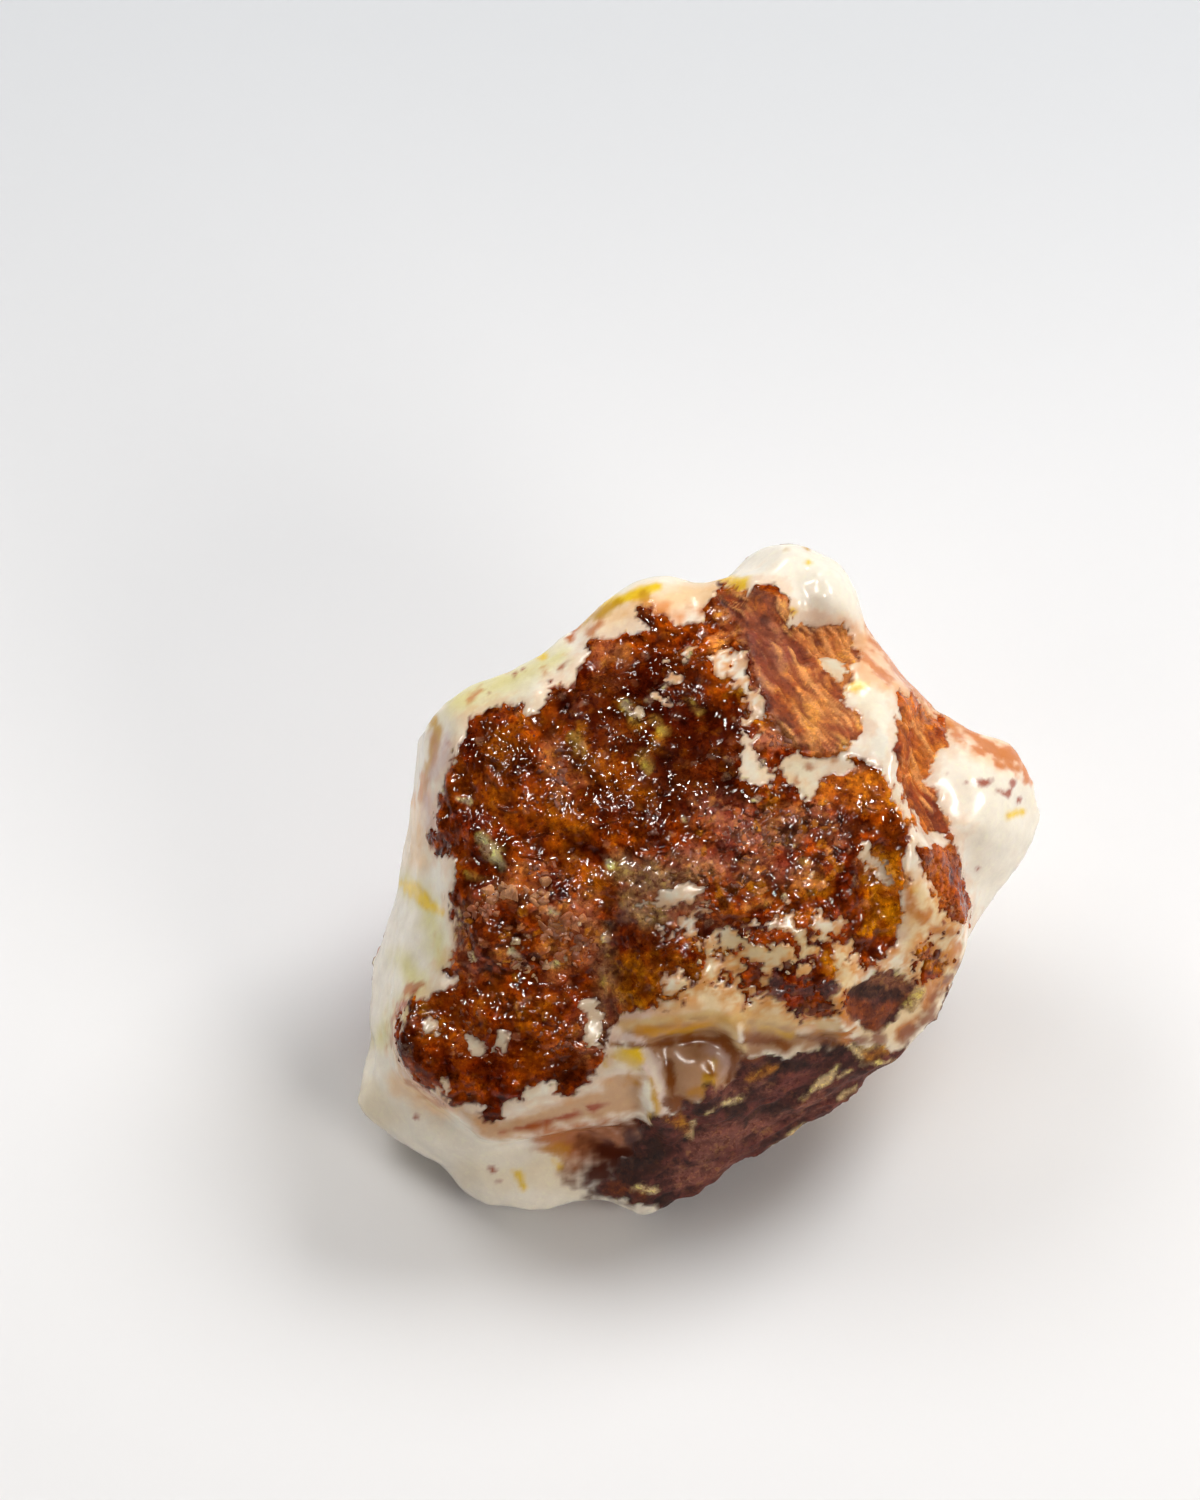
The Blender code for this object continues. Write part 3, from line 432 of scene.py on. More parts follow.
plumTones = [
    ((142, 86, 58), 0.85, 0.4, 0.7, [
        [(856, 984), (880, 966), (905, 974), (922, 986), (905, 996), (866, 996)]]),
    ((126, 54, 6), 0.95, 0.3, 0.6, [
        [(852, 1008, 8), (872, 1016, 11), (890, 1006, 9), (904, 1000, 6)],
        [(862, 1030, 6), (880, 1028, 5)]]),
    # near-black brown below the toe ledge, on the plum rock: a dark stain, deepened as painted shadow under
    # the ledge's overhang
    ((60, 20, 3), 0.92, 0.6, 0.6, [
        [(606, 1158, 12), (630, 1160, 16), (628, 1180, 14)], [(655, 1148, 9), (650, 1170, 10)]]),
    ((142, 84, 70), 0.7, 0.4, 0.9, [
        [(700, 1150, 14), (760, 1125, 10), (820, 1095, 6)], [(760, 1085, 9), (720, 1092, 6)],
        [(680, 1180, 10), (720, 1170, 8)]]),
    ((52, 22, 14), 0.85, 0.3, 0.8, [
        [(785, 1060, 10), (800, 1065, 6)], [(820, 1050, 8), (850, 1048, 7)],
        [(700, 1105, 6), (745, 1115, 6)], [(790, 1108, 7), (760, 1110, 4)],
        [(835, 1118, 6), (848, 1108, 3)], [(625, 1198, 5), (665, 1206, 5)],
        [(640, 1140, 5), (655, 1150, 5)], [(858, 985, 4), (900, 1000, 7)]]),
    ((228, 200, 150), 0.9, 0.14, 0.25, [
        [(708, 1112, 1), (722, 1104, 1.5), (742, 1097, 1)],
        [(800, 1100, 1.5), (815, 1088, 2.5), (830, 1078, 3), (838, 1066, 2)],
        [(838, 1078, 1), (860, 1066, 1.5), (905, 1058, 1)], [(838, 1098, 1.5), (855, 1088, 1)],
        [(655, 1192, 3), (640, 1188, 5), (630, 1193, 2)], [(690, 1135, 4), (693, 1122, 3)],
        # the stroke along the plum side's lower edge is a painted highlight of light bounced from the floor;
        # the other cream lines are thin layers of the rock
        [(728, 1188, 4), (745, 1170, 3), (765, 1155, 2), (800, 1130, 1.5), (830, 1115, 1)],
        [(885, 1040, 3), (910, 1030, 2), (930, 1005, 1.5)], [(850, 1045, 2), (862, 1060, 2)],
        [(915, 975, 3), (925, 990, 4), (912, 1012, 4)], [(740, 1048, 3), (800, 1040, 2)]]),
    ((196, 164, 108), 0.85, 0.25, 0.5, [
        [(905, 1010, 4), (930, 985, 5)], [(895, 1035, 5), (915, 1022, 3)], [(945, 960, 4), (940, 985, 4)],
        [(866, 1048, 4), (888, 1044, 4)], [(815, 1040, 3), (790, 1044, 3)]]),
    ((180, 112, 30), 0.85, 0.3, 0.5, [
        [(655, 1095, 7), (668, 1110, 7), (690, 1130, 5)], [(868, 1060, 4), (880, 1050, 5), (900, 1040, 4)],
        [(925, 1000, 5), (918, 1020, 5)], [(738, 1182, 3)], [(770, 1070, 5), (750, 1078, 4)]]),
    ((120, 52, 12), 0.9, 0.3, 0.5, [
        [(800, 1000, 9), (815, 1012, 8), (832, 1000, 5)], [(845, 1010, 4), (842, 1000, 3)],
        [(612, 1188, 6), (640, 1196, 5)], [(660, 1100, 5), (672, 1112, 6)],
        [(742, 1060, 4), (760, 1052, 4)]]),
]
flecks = [
    # share of the cells from, to, colour, strength
    (0.80, 0.87, (176, 104, 20), 0.5),
    (0.87, 0.92, (182, 116, 76), 0.45),
    (0.92, 0.96, (150, 66, 20), 0.6),
    (0.97, 1.00, (206, 186, 158), 0.5),
]
dryStreaks = [
    # streak value from, to, colour
    (-0.1, -0.7, (134, 60, 30)),
    (0.15, 0.9, (240, 164, 96)),
]
tones = {"white": (240, 231, 214), "cream": (232, 214, 176), "rust": (140, 52, 4),
         "hiddenRust": (140, 84, 62), "plum": (89, 41, 34), "veil": (178, 164, 128), "halo": (212, 136, 50)}
noises = {
    # size in mm, shift, octaves, fall
    "crustTear": (1.9, 3, 4, 0.8),
    "mixedTear": (1.3, 5, 4, 0.75),
    "hiddenCrust": (11.0, 8, 3),
    "broad": (6.0, 11, 2),
    "fine": (0.9, 13, 3),
    "blotch": (2.6, 89, 4, 0.65),
    "plumTear": (1.4, 23, 3),
    "plumGrain": (0.6, 79, 2),
    "hiddenBeds": (2.2, 29, 3),
    "hiddenPlum": (14.0, 31, 2),
    "ripple": (1.8, 41, 2),
    "bodyGrain": (0.9, 43, 2),
    "hiddenGrain": (0.9, 43, 3),
    "lumps": (1.7, 53, 3),
    "crumbs": (0.35, 59, 2),
}
shifts = {"opalStainsAndShade": 17, "crustTones": 19, "plumTones": 37, "cells": 47, "plumLayers": 73,
          "dryStreaks": 83}
cellSize = 0.6            # mm
plumRise = 27.0           # degrees, the lie of the thin layers
streakRise = -52.0
daubTear = {"size": 1.1, "octaves": 3, "share": 0.6}
beds = {"wobble": 0.35, "wobbleSize": 2.5, "length": 7.0, "inward": 0.1, "noise": (0.55, 3, 0.7)}
edgeSettings = {"inward": 4.0, "tear": 0.3, "holeTear": 1.5, "mixed": 0.75, "hidden": 2.4, "hiddenLess": 0.5}
wetSettings = {"dryLoss": 0.9, "plum": 0.12, "opal": 0.35, "hidden": 0.25, "waxyLoss": 0.95}


def laidOver(base, daubs, spots, shift):
    # each colour laid over the last, with torn edges
    tear = noiseAt(spots["places"], daubTear["size"], shift, daubTear["octaves"])
    result = np.array(base, dtype=float)
    for colour, strength, soft, ragged, shapes in daubs:
        depth = shapeDepth(spots["points"], shapes) + ragged * daubTear["share"] * tear
        result = over(result, linear(*colour), strength * smooth(-soft, soft, depth))
    return result


def crustDepth(points, places, front):
    # mm inside (+) or outside (-) the brown crust, with a torn edge
    shape = np.minimum(shapeDepth(points, crustAreas), edgeSettings["inward"])
    hole = shapeDepth(points, whiteHoles)
    tear = edgeSettings["tear"] * noiseAt(places, *noises["crustTear"])
    mixed = smooth(-0.6, 0.6, shapeDepth(points, mixedAreas)) * edgeSettings["mixed"]
    mixed = mixed * noiseAt(places, *noises["mixedTear"])
    seen = np.minimum(shape + tear + mixed, -(hole + edgeSettings["holeTear"] * tear + mixed))
    patches = edgeSettings["hidden"] * noiseAt(places, *noises["hiddenCrust"]) - edgeSettings["hiddenLess"]
    patches = patches + edgeSettings["holeTear"] * tear
    return seen * front + patches * (1.0 - front)


def laminaeAt(points, places, shift, rise):
    # thin streaks that rise to the right at this angle
    turn = math.radians(rise)
    along = (points[:, 0] * math.cos(turn) - points[:, 1] * math.sin(turn)) / sketch["perMm"]
    across = (points[:, 0] * math.sin(turn) + points[:, 1] * math.cos(turn)) / sketch["perMm"]
    across = across + beds["wobble"] * noiseAt(places, beds["wobbleSize"], shift + 1)
    flat = np.stack([along / beds["length"], across, places[:, 2] * beds["inward"]], axis=1)
    size, octaves, fall = beds["noise"]
    return noiseAt(flat, size, shift, octaves, fall)


def readSpots(places, normals):
    # what the colours need to know at places in mm
    points, _ = onSketch(places)
    front = smooth(-0.5, -0.15, normals @ np.array(towardsViewer))
    edges, cell = cellsAt(places, cellSize, shifts["cells"])
    return {"places": places, "points": points, "front": front, "edges": edges, "cell": cell,
            "crust": crustDepth(points, places, front),
            "warm": smooth(0.1, 0.9, noiseAt(places, *noises["broad"])) * 0.5,
            "fine": noiseAt(places, *noises["fine"]),
            "granules": smooth(-0.4, 0.6, shapeDepth(points, granuleAreas)) * front,
            "dry": smooth(-0.5, 0.5, shapeDepth(points, dryAreas)) * front,
            "mixed": smooth(-0.8, 0.8, shapeDepth(points, mixedAreas)) * front,
            "streaks": laminaeAt(points, places, shifts["dryStreaks"], streakRise)}


def opalTone(spots):
    # cream white, stained in front, seen through a brown veil and rusty along the crust's edge
    white = np.outer(1.0 + 0.03 * spots["fine"], linear(*tones["white"]))
    white = over(white, linear(*tones["cream"]), spots["warm"])
    opal = over(white, laidOver(white, opalStainsAndShade, spots, shifts["opalStainsAndShade"]), spots["front"])
    veil = smooth(0.1, 1.0, shapeDepth(spots["points"], crustAreas[:1])) * 0.4
    veil = veil * spots["front"] * (1.0 - 0.6 * spots["mixed"])
    opal = over(opal, linear(*tones["veil"]), veil)
    halo = smooth(-1.0, -0.05, spots["crust"] + 0.4 * spots["fine"]) * (0.3 + 0.5 * spots["mixed"])
    return over(opal, linear(*tones["halo"]), halo)


def crustTone(spots):
    # rust with amber and maroon blotches, pits, flecks and the streaks of the dry rock
    rust = np.outer(np.ones(len(spots["places"])), linear(*tones["rust"]))
    rust = rust * (0.5 + 0.9 * smooth(-0.7, 0.9, spots["fine"])[:, None])
    brown = laidOver(rust, crustTones, spots, shifts["crustTones"])
    blotch = noiseAt(spots["places"], *noises["blotch"])
    amber = smooth(0.1, 0.75, blotch)[:, None] * (0.2, 0.4, 0.05)
    maroon = smooth(-0.1, -0.8, blotch)[:, None] * (0.35, 0.55, 0.5)
    brown = brown * (1.0 + amber - maroon)
    solid = smooth(0.02, 0.14, spots["edges"])
    pits = 1.0 - (0.2 + 0.4 * spots["granules"]) * smooth(0.22, 0.12, spots["cell"])
    brown = brown * (pits * (0.88 + 0.12 * solid))[:, None]
    for low, high, colour, strength in flecks:
        share = smooth(low - 0.01, low, spots["cell"]) * smooth(high + 0.01, high, spots["cell"]) * solid
        brown = over(brown, linear(*colour), share * strength * (0.18 + 1.2 * spots["granules"]))
    for low, high, colour in dryStreaks:
        brown = over(brown, linear(*colour), 0.75 * smooth(low, high, spots["streaks"]) * spots["dry"])
    hidden = over(rust, linear(*tones["hiddenRust"]), spots["warm"])
    return over(hidden, brown, spots["front"])


def plumTone(spots):
    front = spots["front"]
    hidden = noiseAt(spots["places"] * (0.35, 0.35, 1.6), *noises["hiddenBeds"]) * (1.0 - front)
    layers = 0.8 * laminaeAt(spots["points"], spots["places"], shifts["plumLayers"], plumRise)
    shades = hidden + (layers + 0.5 * noiseAt(spots["places"], *noises["plumGrain"])) * front
    plum = np.outer(np.clip(1.0 + 0.55 * shades, 0.2, 2.2), linear(*tones["plum"]))
    return over(plum, laidOver(plum, plumTones, spots, shifts["plumTones"]), front)


def plumDepth(spots):
    # mm inside (+) or outside (-) the plum rock
    seen = shapeDepth(spots["points"], plumAreas) + 0.35 * noiseAt(spots["places"], *noises["plumTear"])
    hidden = 2.5 * noiseAt(spots["places"], *noises["hiddenPlum"]) - 0.4
    return seen * spots["front"] + hidden * (1.0 - spots["front"])


def wetness(spots, isCrust, isPlum, rock):
    wet = isCrust * (1.0 - wetSettings["dryLoss"] * spots["dry"])
    wet = wet + (1.0 - isCrust) * isPlum * wetSettings["plum"] + (1.0 - rock) * wetSettings["opal"]
    wet = wet * spots["front"] + (1.0 - spots["front"]) * wetSettings["hidden"] * (2.0 - rock)
    waxy = smooth(-0.3, 0.5, shapeDepth(spots["points"], waxyAreas))
    return wet * (1.0 - wetSettings["waxyLoss"] * waxy * (1.0 - rock))


def paint(places, normals, edge):
    # colour and finish at places in mm; the rock's colour starts at this depth of the crust
    spots = readSpots(places, normals)
    softness = 0.08 + 0.16 * (1.0 - spots["front"])
    isPlum = smooth(-0.04 - softness, 0.04 + softness, plumDepth(spots))
    isCrust = smooth(edge - softness, edge + softness, spots["crust"])
    rock = np.maximum(isCrust, isPlum)
    spots["tone"] = over(over(opalTone(spots), plumTone(spots), isPlum), crustTone(spots), isCrust)
    spots["wet"] = wetness(spots, isCrust, isPlum, rock)
    spots["rock"] = rock
    spots["plum"] = isPlum * (1.0 - isCrust)
    return spots


print("markings ready")


def meshOf(name, data):
    mesh = bpy.data.meshes.new(name)
    data.to_mesh(mesh)
    data.free()
    return mesh


def pieceOf(name, mesh):
    piece = bpy.data.objects.new(name, mesh)
    bpy.context.scene.collection.objects.link(piece)
    return piece


def evaluated(piece):
    # the piece's mesh with its modifiers worked in
    mesh = bpy.data.meshes.new_from_object(piece.evaluated_get(bpy.context.evaluated_depsgraph_get()))
    old = piece.data
    piece.modifiers.clear()
    piece.data = mesh
    bpy.data.meshes.remove(old)


def subdivide(piece, levels):
    finer = piece.modifiers.new("finer", "SUBSURF")
    finer.levels = levels
    finer.render_levels = levels
    evaluated(piece)


def dropFaces(mesh, spare):
    # the mesh as a bmesh, without its spare faces
    data = bmesh.new()
    data.from_mesh(mesh)
    bmesh.ops.delete(data, geom=[face for face in data.faces if spare(face)], context="FACES")
    return data


def placesOf(mesh):
    values = np.empty(len(mesh.vertices) * 3)
    mesh.vertices.foreach_get("co", values)
    return values.reshape(-1, 3) / mm


def normalsOf(mesh):
    values = np.empty(len(mesh.vertices) * 3)
    mesh.vertex_normals.foreach_get("vector", values)
    return values.reshape(-1, 3)


def movePlaces(mesh, places):
    mesh.vertices.foreach_set("co", (places * mm).ravel())
    mesh.update()


def keepPaint(mesh, paints, names):
    colours = np.ones((len(mesh.vertices), 4))
    colours[:, :3] = np.clip(paints["tone"], 0.0, 1.0)
    mesh.attributes.new("tone", "FLOAT_COLOR", "POINT").data.foreach_set("color", colours.ravel())
    for name in names:
        mesh.attributes.new(name, "FLOAT", "POINT").data.foreach_set("value", paints[name])


baseSettings = {"merge": 1e-6, "voxel": 0.00052, "smoothFactor": 0.5, "smoothTimes": 4}


def baseSurface():
    source = bmesh.new()
    source.from_mesh(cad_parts["opal_stone"].data)
    bmesh.ops.remove_doubles(source, verts=source.verts, dist=baseSettings["merge"])
    piece = pieceOf("baseSurface", meshOf("baseSurface", source))
    remesh = piece.modifiers.new("even", "REMESH")
    remesh.mode = "VOXEL"
    remesh.voxel_size = baseSettings["voxel"]
    ease = piece.modifiers.new("ease", "SMOOTH")
    ease.factor = baseSettings["smoothFactor"]
    ease.iterations = baseSettings["smoothTimes"]
    evaluated(piece)
    return piece


base = baseSurface()
print("base surface", len(base.data.polygons), "faces")

bodySettings = {
    # heights in mm
    "levels": 1,
    "ripple": 0.05,
    "sink": 0.14,           # below the crust
    "plumRelief": 0.16,
    "hiddenCrust": 0.1,
    "hiddenRelief": 0.12,
    "foot": 0.2,            # what stands lower keeps its height
    "rockEdge": 0.05,
}


def opalBody():
    piece = pieceOf("opalBody", base.data.copy())
    subdivide(piece, bodySettings["levels"])
    mesh = piece.data
    places = placesOf(mesh)
    normals = normalsOf(mesh)
    paints = paint(places, normals, bodySettings["rockEdge"])
    front = paints["front"]
    hiddenRough = noiseAt(places * (0.6, 0.6, 1.5), *noises["hiddenGrain"]) * (1.0 - front)
    layers = 0.7 * laminaeAt(paints["points"], places, shifts["plumLayers"], plumRise)
    rough = hiddenRough + (layers + 0.5 * noiseAt(places, *noises["bodyGrain"])) * front
    lift = bodySettings["ripple"] * noiseAt(places, *noises["ripple"]) * (1.0 - paints["rock"])
    lift += bodySettings["plumRelief"] * rough * paints["plum"]
    lift -= bodySettings["sink"] * smooth(-0.1, 0.35, paints["crust"]) * front
    hiddenCrust = smooth(-0.1, 0.4, paints["crust"]) * (1.0 - front)
    lift += hiddenCrust * (bodySettings["hiddenCrust"] + bodySettings["hiddenRelief"] * rough)
    moved = places + normals * lift[:, None]
    low = places[:, 2] < bodySettings["foot"]
    moved[:, 2] = np.maximum(np.where(low, places[:, 2], moved[:, 2]), 0.0)
    movePlaces(mesh, moved)
    keepPaint(mesh, paints, ("wet", "rock"))
    return piece


body = opalBody()
print("opal body", len(body.data.polygons), "faces")

crustSettings = {
    # heights and depths in mm
    "levels": 2,
    "margin": -1.1,         # how far outside the crust the skin is taken
    "trim": -0.35,          # and how far outside it is kept
    "rockEdge": -0.4,
    "dive": 0.4,            # the skin's rim, below the opal
    "lift": 0.04,
    "broad": 0.12,
    "chips": 0.07,
    "fine": 0.03,
    "dryRelief": 0.11,
    "hollowShade": 0.6,     # how much less of the painted relief shade the dry rock gets
}
filmEdges = [
    # strokes where the wet film folds and catches the light
    [(580, 829, 3), (590, 821, 2.5), (602, 822, 2), (617, 818, 3)],
    [(634, 842, 2), (637, 853, 3), (648, 858, 2.5), (657, 851, 2), (670, 849, 3), (668, 859, 2.5),
     (655, 868, 2)],
    [(541, 814, 2), (546, 806, 2.5), (556, 802, 2)], [(500, 806, 2), (512, 811, 2), (522, 809, 1.5)],
    [(535, 835, 2), (545, 831, 2), (556, 833, 1.5)], [(561, 832, 2)],
    [(522, 855, 1.5), (540, 857, 2), (547, 861, 2)], [(562, 734, 1.5), (566, 725, 2.5), (574, 726, 1.5)],
    [(579, 732, 2)], [(590, 742, 2), (596, 740, 2)], [(650, 692, 1.5), (668, 680, 2)],
    [(676, 812, 3), (672, 818, 1.5)], [(570, 786, 1.5), (578, 782, 1.5)], [(522, 780, 2.5)],
    [(618, 788, 2.5)], [(660, 792, 3)], [(480, 748, 2)], [(575, 888, 2.5)], [(598, 886, 2)],
    [(640, 720, 2), (652, 716, 2)], [(700, 760, 2), (712, 752, 2.5)], [(700, 830, 3), (712, 822, 2)],
    [(745, 812, 2), (756, 818, 2)], [(760, 850, 3)], [(690, 868, 2), (704, 874, 2.5)],
    [(640, 770, 2), (646, 762, 2)], [(455, 1040, 2), (462, 1032, 2)], [(520, 1062, 2.5)],
    [(545, 1020, 2), (556, 1024, 2)], [(430, 1060, 2)],
]


def crustSkin():
    mesh = base.data.copy()
    points, _ = onSketch(placesOf(mesh))
    facing = normalsOf(mesh) @ np.array(towardsViewer)
    near = (shapeDepth(points, crustAreas) > crustSettings["margin"]) & (facing > -0.1)
    skin = dropFaces(mesh, lambda face: not all(near[vert.index] for vert in face.verts))
    piece = pieceOf("crust", meshOf("crust", skin))
    subdivide(piece, crustSettings["levels"])
    mesh = piece.data
    places = placesOf(mesh)
    normals = normalsOf(mesh)
    paints = paint(places, normals, crustSettings["rockEdge"])
    depth = paints["crust"]
    dry = paints["dry"]
    chips = smooth(0.0, 0.22, paints["edges"]) * (0.2 + 0.9 * paints["cell"])
    relief = crustSettings["broad"] * noiseAt(places, *noises["lumps"])
    relief += crustSettings["chips"] * chips * (0.3 + 1.2 * paints["granules"])
    # painted shade and light: the crust's tone is darkened where its relief is low and lightened on its
    # lumps
    paintedReliefShade = np.clip(0.95 + 2.6 * relief, 0.4, 1.3)
    shade = paintedReliefShade * (1.0 - crustSettings["hollowShade"] * dry) + crustSettings["hollowShade"] * dry
    paints["tone"] = paints["tone"] * shade[:, None]
    relief += crustSettings["fine"] * noiseAt(places, *noises["crumbs"])
    relief += crustSettings["dryRelief"] * paints["streaks"] * dry
    up = smooth(-0.12, 0.25, depth)
    lift = -crustSettings["dive"] * (1.0 - up) + up * (crustSettings["lift"] + relief)
    movePlaces(mesh, places + normals * lift[:, None])
    paints["film"] = np.clip(shapeDepth(paints["points"], filmEdges), -1.0, 1.0)
    keepPaint(mesh, paints, ("wet", "dry", "film"))
    under = depth < crustSettings["trim"]
    trimmed = dropFaces(mesh, lambda face: all(under[vert.index] for vert in face.verts))
    trimmed.to_mesh(mesh)
    trimmed.free()
    return piece


crust = crustSkin()
print("crust", len(crust.data.polygons), "faces")

grainSettings = {
    "seed": 5,
    "spread": 0.55,
    "above": 40.0,          # mm, where the rays start
    "sizes": (0.18, 0.5),   # mm, before the field's factor
    "stretch": ((0.8, 1.35), (0.7, 1.1), (0.4, 0.65)),
    "tilt": 0.35,
    "corners": 11,
    "bevel": 0.09,          # of the size
    "sink": 0.3,            # of the size
    "shades": (0.6, 1.1),
}
grainFields = [
    # x, y, spread x, spread y, how many, size factor, colours
    (500, 893, 14, 7, 18, 1.5, ((196, 132, 88), (206, 146, 104))),
    (538, 893, 10, 8, 9, 1.9, ((204, 142, 96), (186, 118, 76))),
    (485, 910, 18, 8, 22, 1.2, ((186, 116, 76), (170, 96, 60))),
    (558, 925, 20, 13, 34, 1.5, ((190, 120, 76), (168, 98, 60))),
    (575, 948, 22, 14, 30, 1.1, ((160, 88, 52), (184, 116, 76))),
    (520, 965, 30, 10, 24, 0.8, ((150, 84, 52), (200, 150, 110))),
    (560, 775, 10, 26, 20, 1.1, ((134, 72, 48), (120, 60, 38))),
    (548, 868, 26, 8, 20, 0.9, ((150, 84, 54), (130, 66, 40))),
    (750, 830, 50, 25, 60, 0.7, ((110, 60, 40), (140, 84, 60))),
    (650, 820, 20, 16, 20, 0.7, ((130, 66, 40), (100, 46, 24))),
    (780, 740, 18, 12, 20, 0.8, ((168, 104, 80), (140, 78, 56))),
    (700, 880, 60, 20, 40, 0.7, ((150, 84, 30), (120, 60, 30))),
    (560, 1040, 40, 26, 40, 0.7, ((130, 60, 24), (150, 76, 40))),
    (470, 1030, 50, 26, 36, 0.6, ((120, 56, 20), (140, 72, 34))),
    (740, 950, 60, 26, 40, 0.7, ((150, 70, 20), (210, 180, 140))),
    (520, 760, 60, 50, 50, 0.6, ((100, 40, 14), (130, 58, 24))),
]


def addChip(body, shade, picker, hit, normal, factor, colours):
    # a small bevelled hull of random corners, pressed a little into the crust
    size = picker.uniform(*grainSettings["sizes"]) * factor * mm
    stretch = Vector([picker.uniform(*limits) for limits in grainSettings["stretch"]])
    turn = Matrix.Rotation(picker.uniform(0.0, 6.28), 3, "Z")
    stand = normal.to_track_quat("Z", "Y").to_matrix()
    tilt = Matrix.Rotation(picker.uniform(-grainSettings["tilt"], grainSettings["tilt"]), 3, "X")
    tone = linear(*colours[0]) * picker.uniform(*grainSettings["shades"])
    if picker.random() < 0.5:
        tone = linear(*colours[1]) * picker.uniform(*grainSettings["shades"])
    chip = bmesh.new()
    for _ in range(grainSettings["corners"]):
        corner = Vector([picker.gauss(0.0, 1.0) for _ in range(3)]).normalized()
        local = Vector([corner[i] * stretch[i] for i in range(3)]) * size
        chip.verts.new(hit - normal * grainSettings["sink"] * size + stand @ (tilt @ (turn @ local)))
    bmesh.ops.convex_hull(chip, input=chip.verts)
    bmesh.ops.bevel(chip, geom=chip.edges, offset=grainSettings["bevel"] * size, offset_type="OFFSET",
                    affect="EDGES", segments=1, profile=0.5, clamp_overlap=True, material=-1)
    bmesh.ops.recalc_face_normals(chip, faces=chip.faces)
    made = {vert: body.verts.new(vert.co) for vert in chip.verts}
    for vert in made.values():
        vert[shade] = (tone[0], tone[1], tone[2], 1.0)
    for face in chip.faces:
        body.faces.new([made[vert] for vert in face.verts])
    chip.free()


def grainPieces():
    picker = random.Random(grainSettings["seed"])
    tree = BVHTree.FromObject(crust, bpy.context.evaluated_depsgraph_get())
    body = bmesh.new()
    shade = body.verts.layers.float_color.new("tone")
    for x, y, wide, high, count, factor, colours in grainFields:
        for _ in range(count):
            spotX = x + picker.gauss(0.0, grainSettings["spread"]) * wide
            spotY = y + picker.gauss(0.0, grainSettings["spread"]) * high
            start = offSketch(spotX, spotY, grainSettings["above"]) * mm
            hit, normal, _, _ = tree.ray_cast(start, -towardsViewer)
            if hit is not None:
                addChip(body, shade, picker, hit, normal, factor, colours)
    return pieceOf("grains", meshOf("grains", body))


grains = grainPieces()
print("grains", len(grains.data.polygons), "faces")

for piece in (body, crust, grains):
    piece.data.polygons.foreach_set("use_smooth", [True] * len(piece.data.polygons))
bpy.data.objects.remove(base)


def joinInput(tree, value, socket):
    # a plain value is set, an output is linked
    if isinstance(value, (int, float, tuple)):
        socket.default_value = value
    else:
        tree.links.new(value, socket)


def mathNode(tree, operation, first, second):
    node = tree.nodes.new("ShaderNodeMath")
    node.operation = operation
    joinInput(tree, first, node.inputs[0])
    joinInput(tree, second, node.inputs[1])
    return node.outputs[0]


def plus(tree, first, second):
    return mathNode(tree, "ADD", first, second)


def times(tree, first, second):
    return mathNode(tree, "MULTIPLY", first, second)


def mixNode(tree, share, first, second, blend="MIX"):
    node = tree.nodes.new("ShaderNodeMix")
    node.data_type = "RGBA"
    node.blend_type = blend
    for slot, value in ((0, share), (6, first), (7, second)):
        joinInput(tree, value, node.inputs[slot])
    return node.outputs[2]


def tinted(tree, colour, red, green, blue):
    return mixNode(tree, 1.0, colour, (red, green, blue, 1.0), "MULTIPLY")


def noiseNode(tree, place, size, detail, rough):
    node = tree.nodes.new("ShaderNodeTexNoise")
    node.inputs["Scale"].default_value = 1.0 / size
    node.inputs["Detail"].default_value = detail
    node.inputs["Roughness"].default_value = rough
    tree.links.new(place, node.inputs["Vector"])
    return node.outputs["Fac"]


def rangeNode(tree, value, low, high, start=0.0, end=1.0):
    node = tree.nodes.new("ShaderNodeMapRange")
    node.interpolation_type = "SMOOTHSTEP"
    for name, number in (("From Min", low), ("From Max", high), ("To Min", start), ("To Max", end)):
        node.inputs[name].default_value = number
    tree.links.new(value, node.inputs["Value"])
    return node.outputs["Result"]


def objectPlace(tree):
    return tree.nodes.new("ShaderNodeTexCoord").outputs["Object"]


mottleSettings = {
    # noises: size in m, detail, roughness
    "broad": (0.0011, 5.0, 0.62),
    "fine": (0.00026, 4.0, 0.7),
    "pits": (0.0005, 4.0, 0.65),
    "veins": (0.0007, 4.0, 0.7),
    "dark": (0.38, 0.27, 0.18),
    "bright": (1.75, 1.9, 1.3),
    "gold": (1.5, 1.9, 1.0),
    "pitted": (0.42, 0.28, 0.22),
}


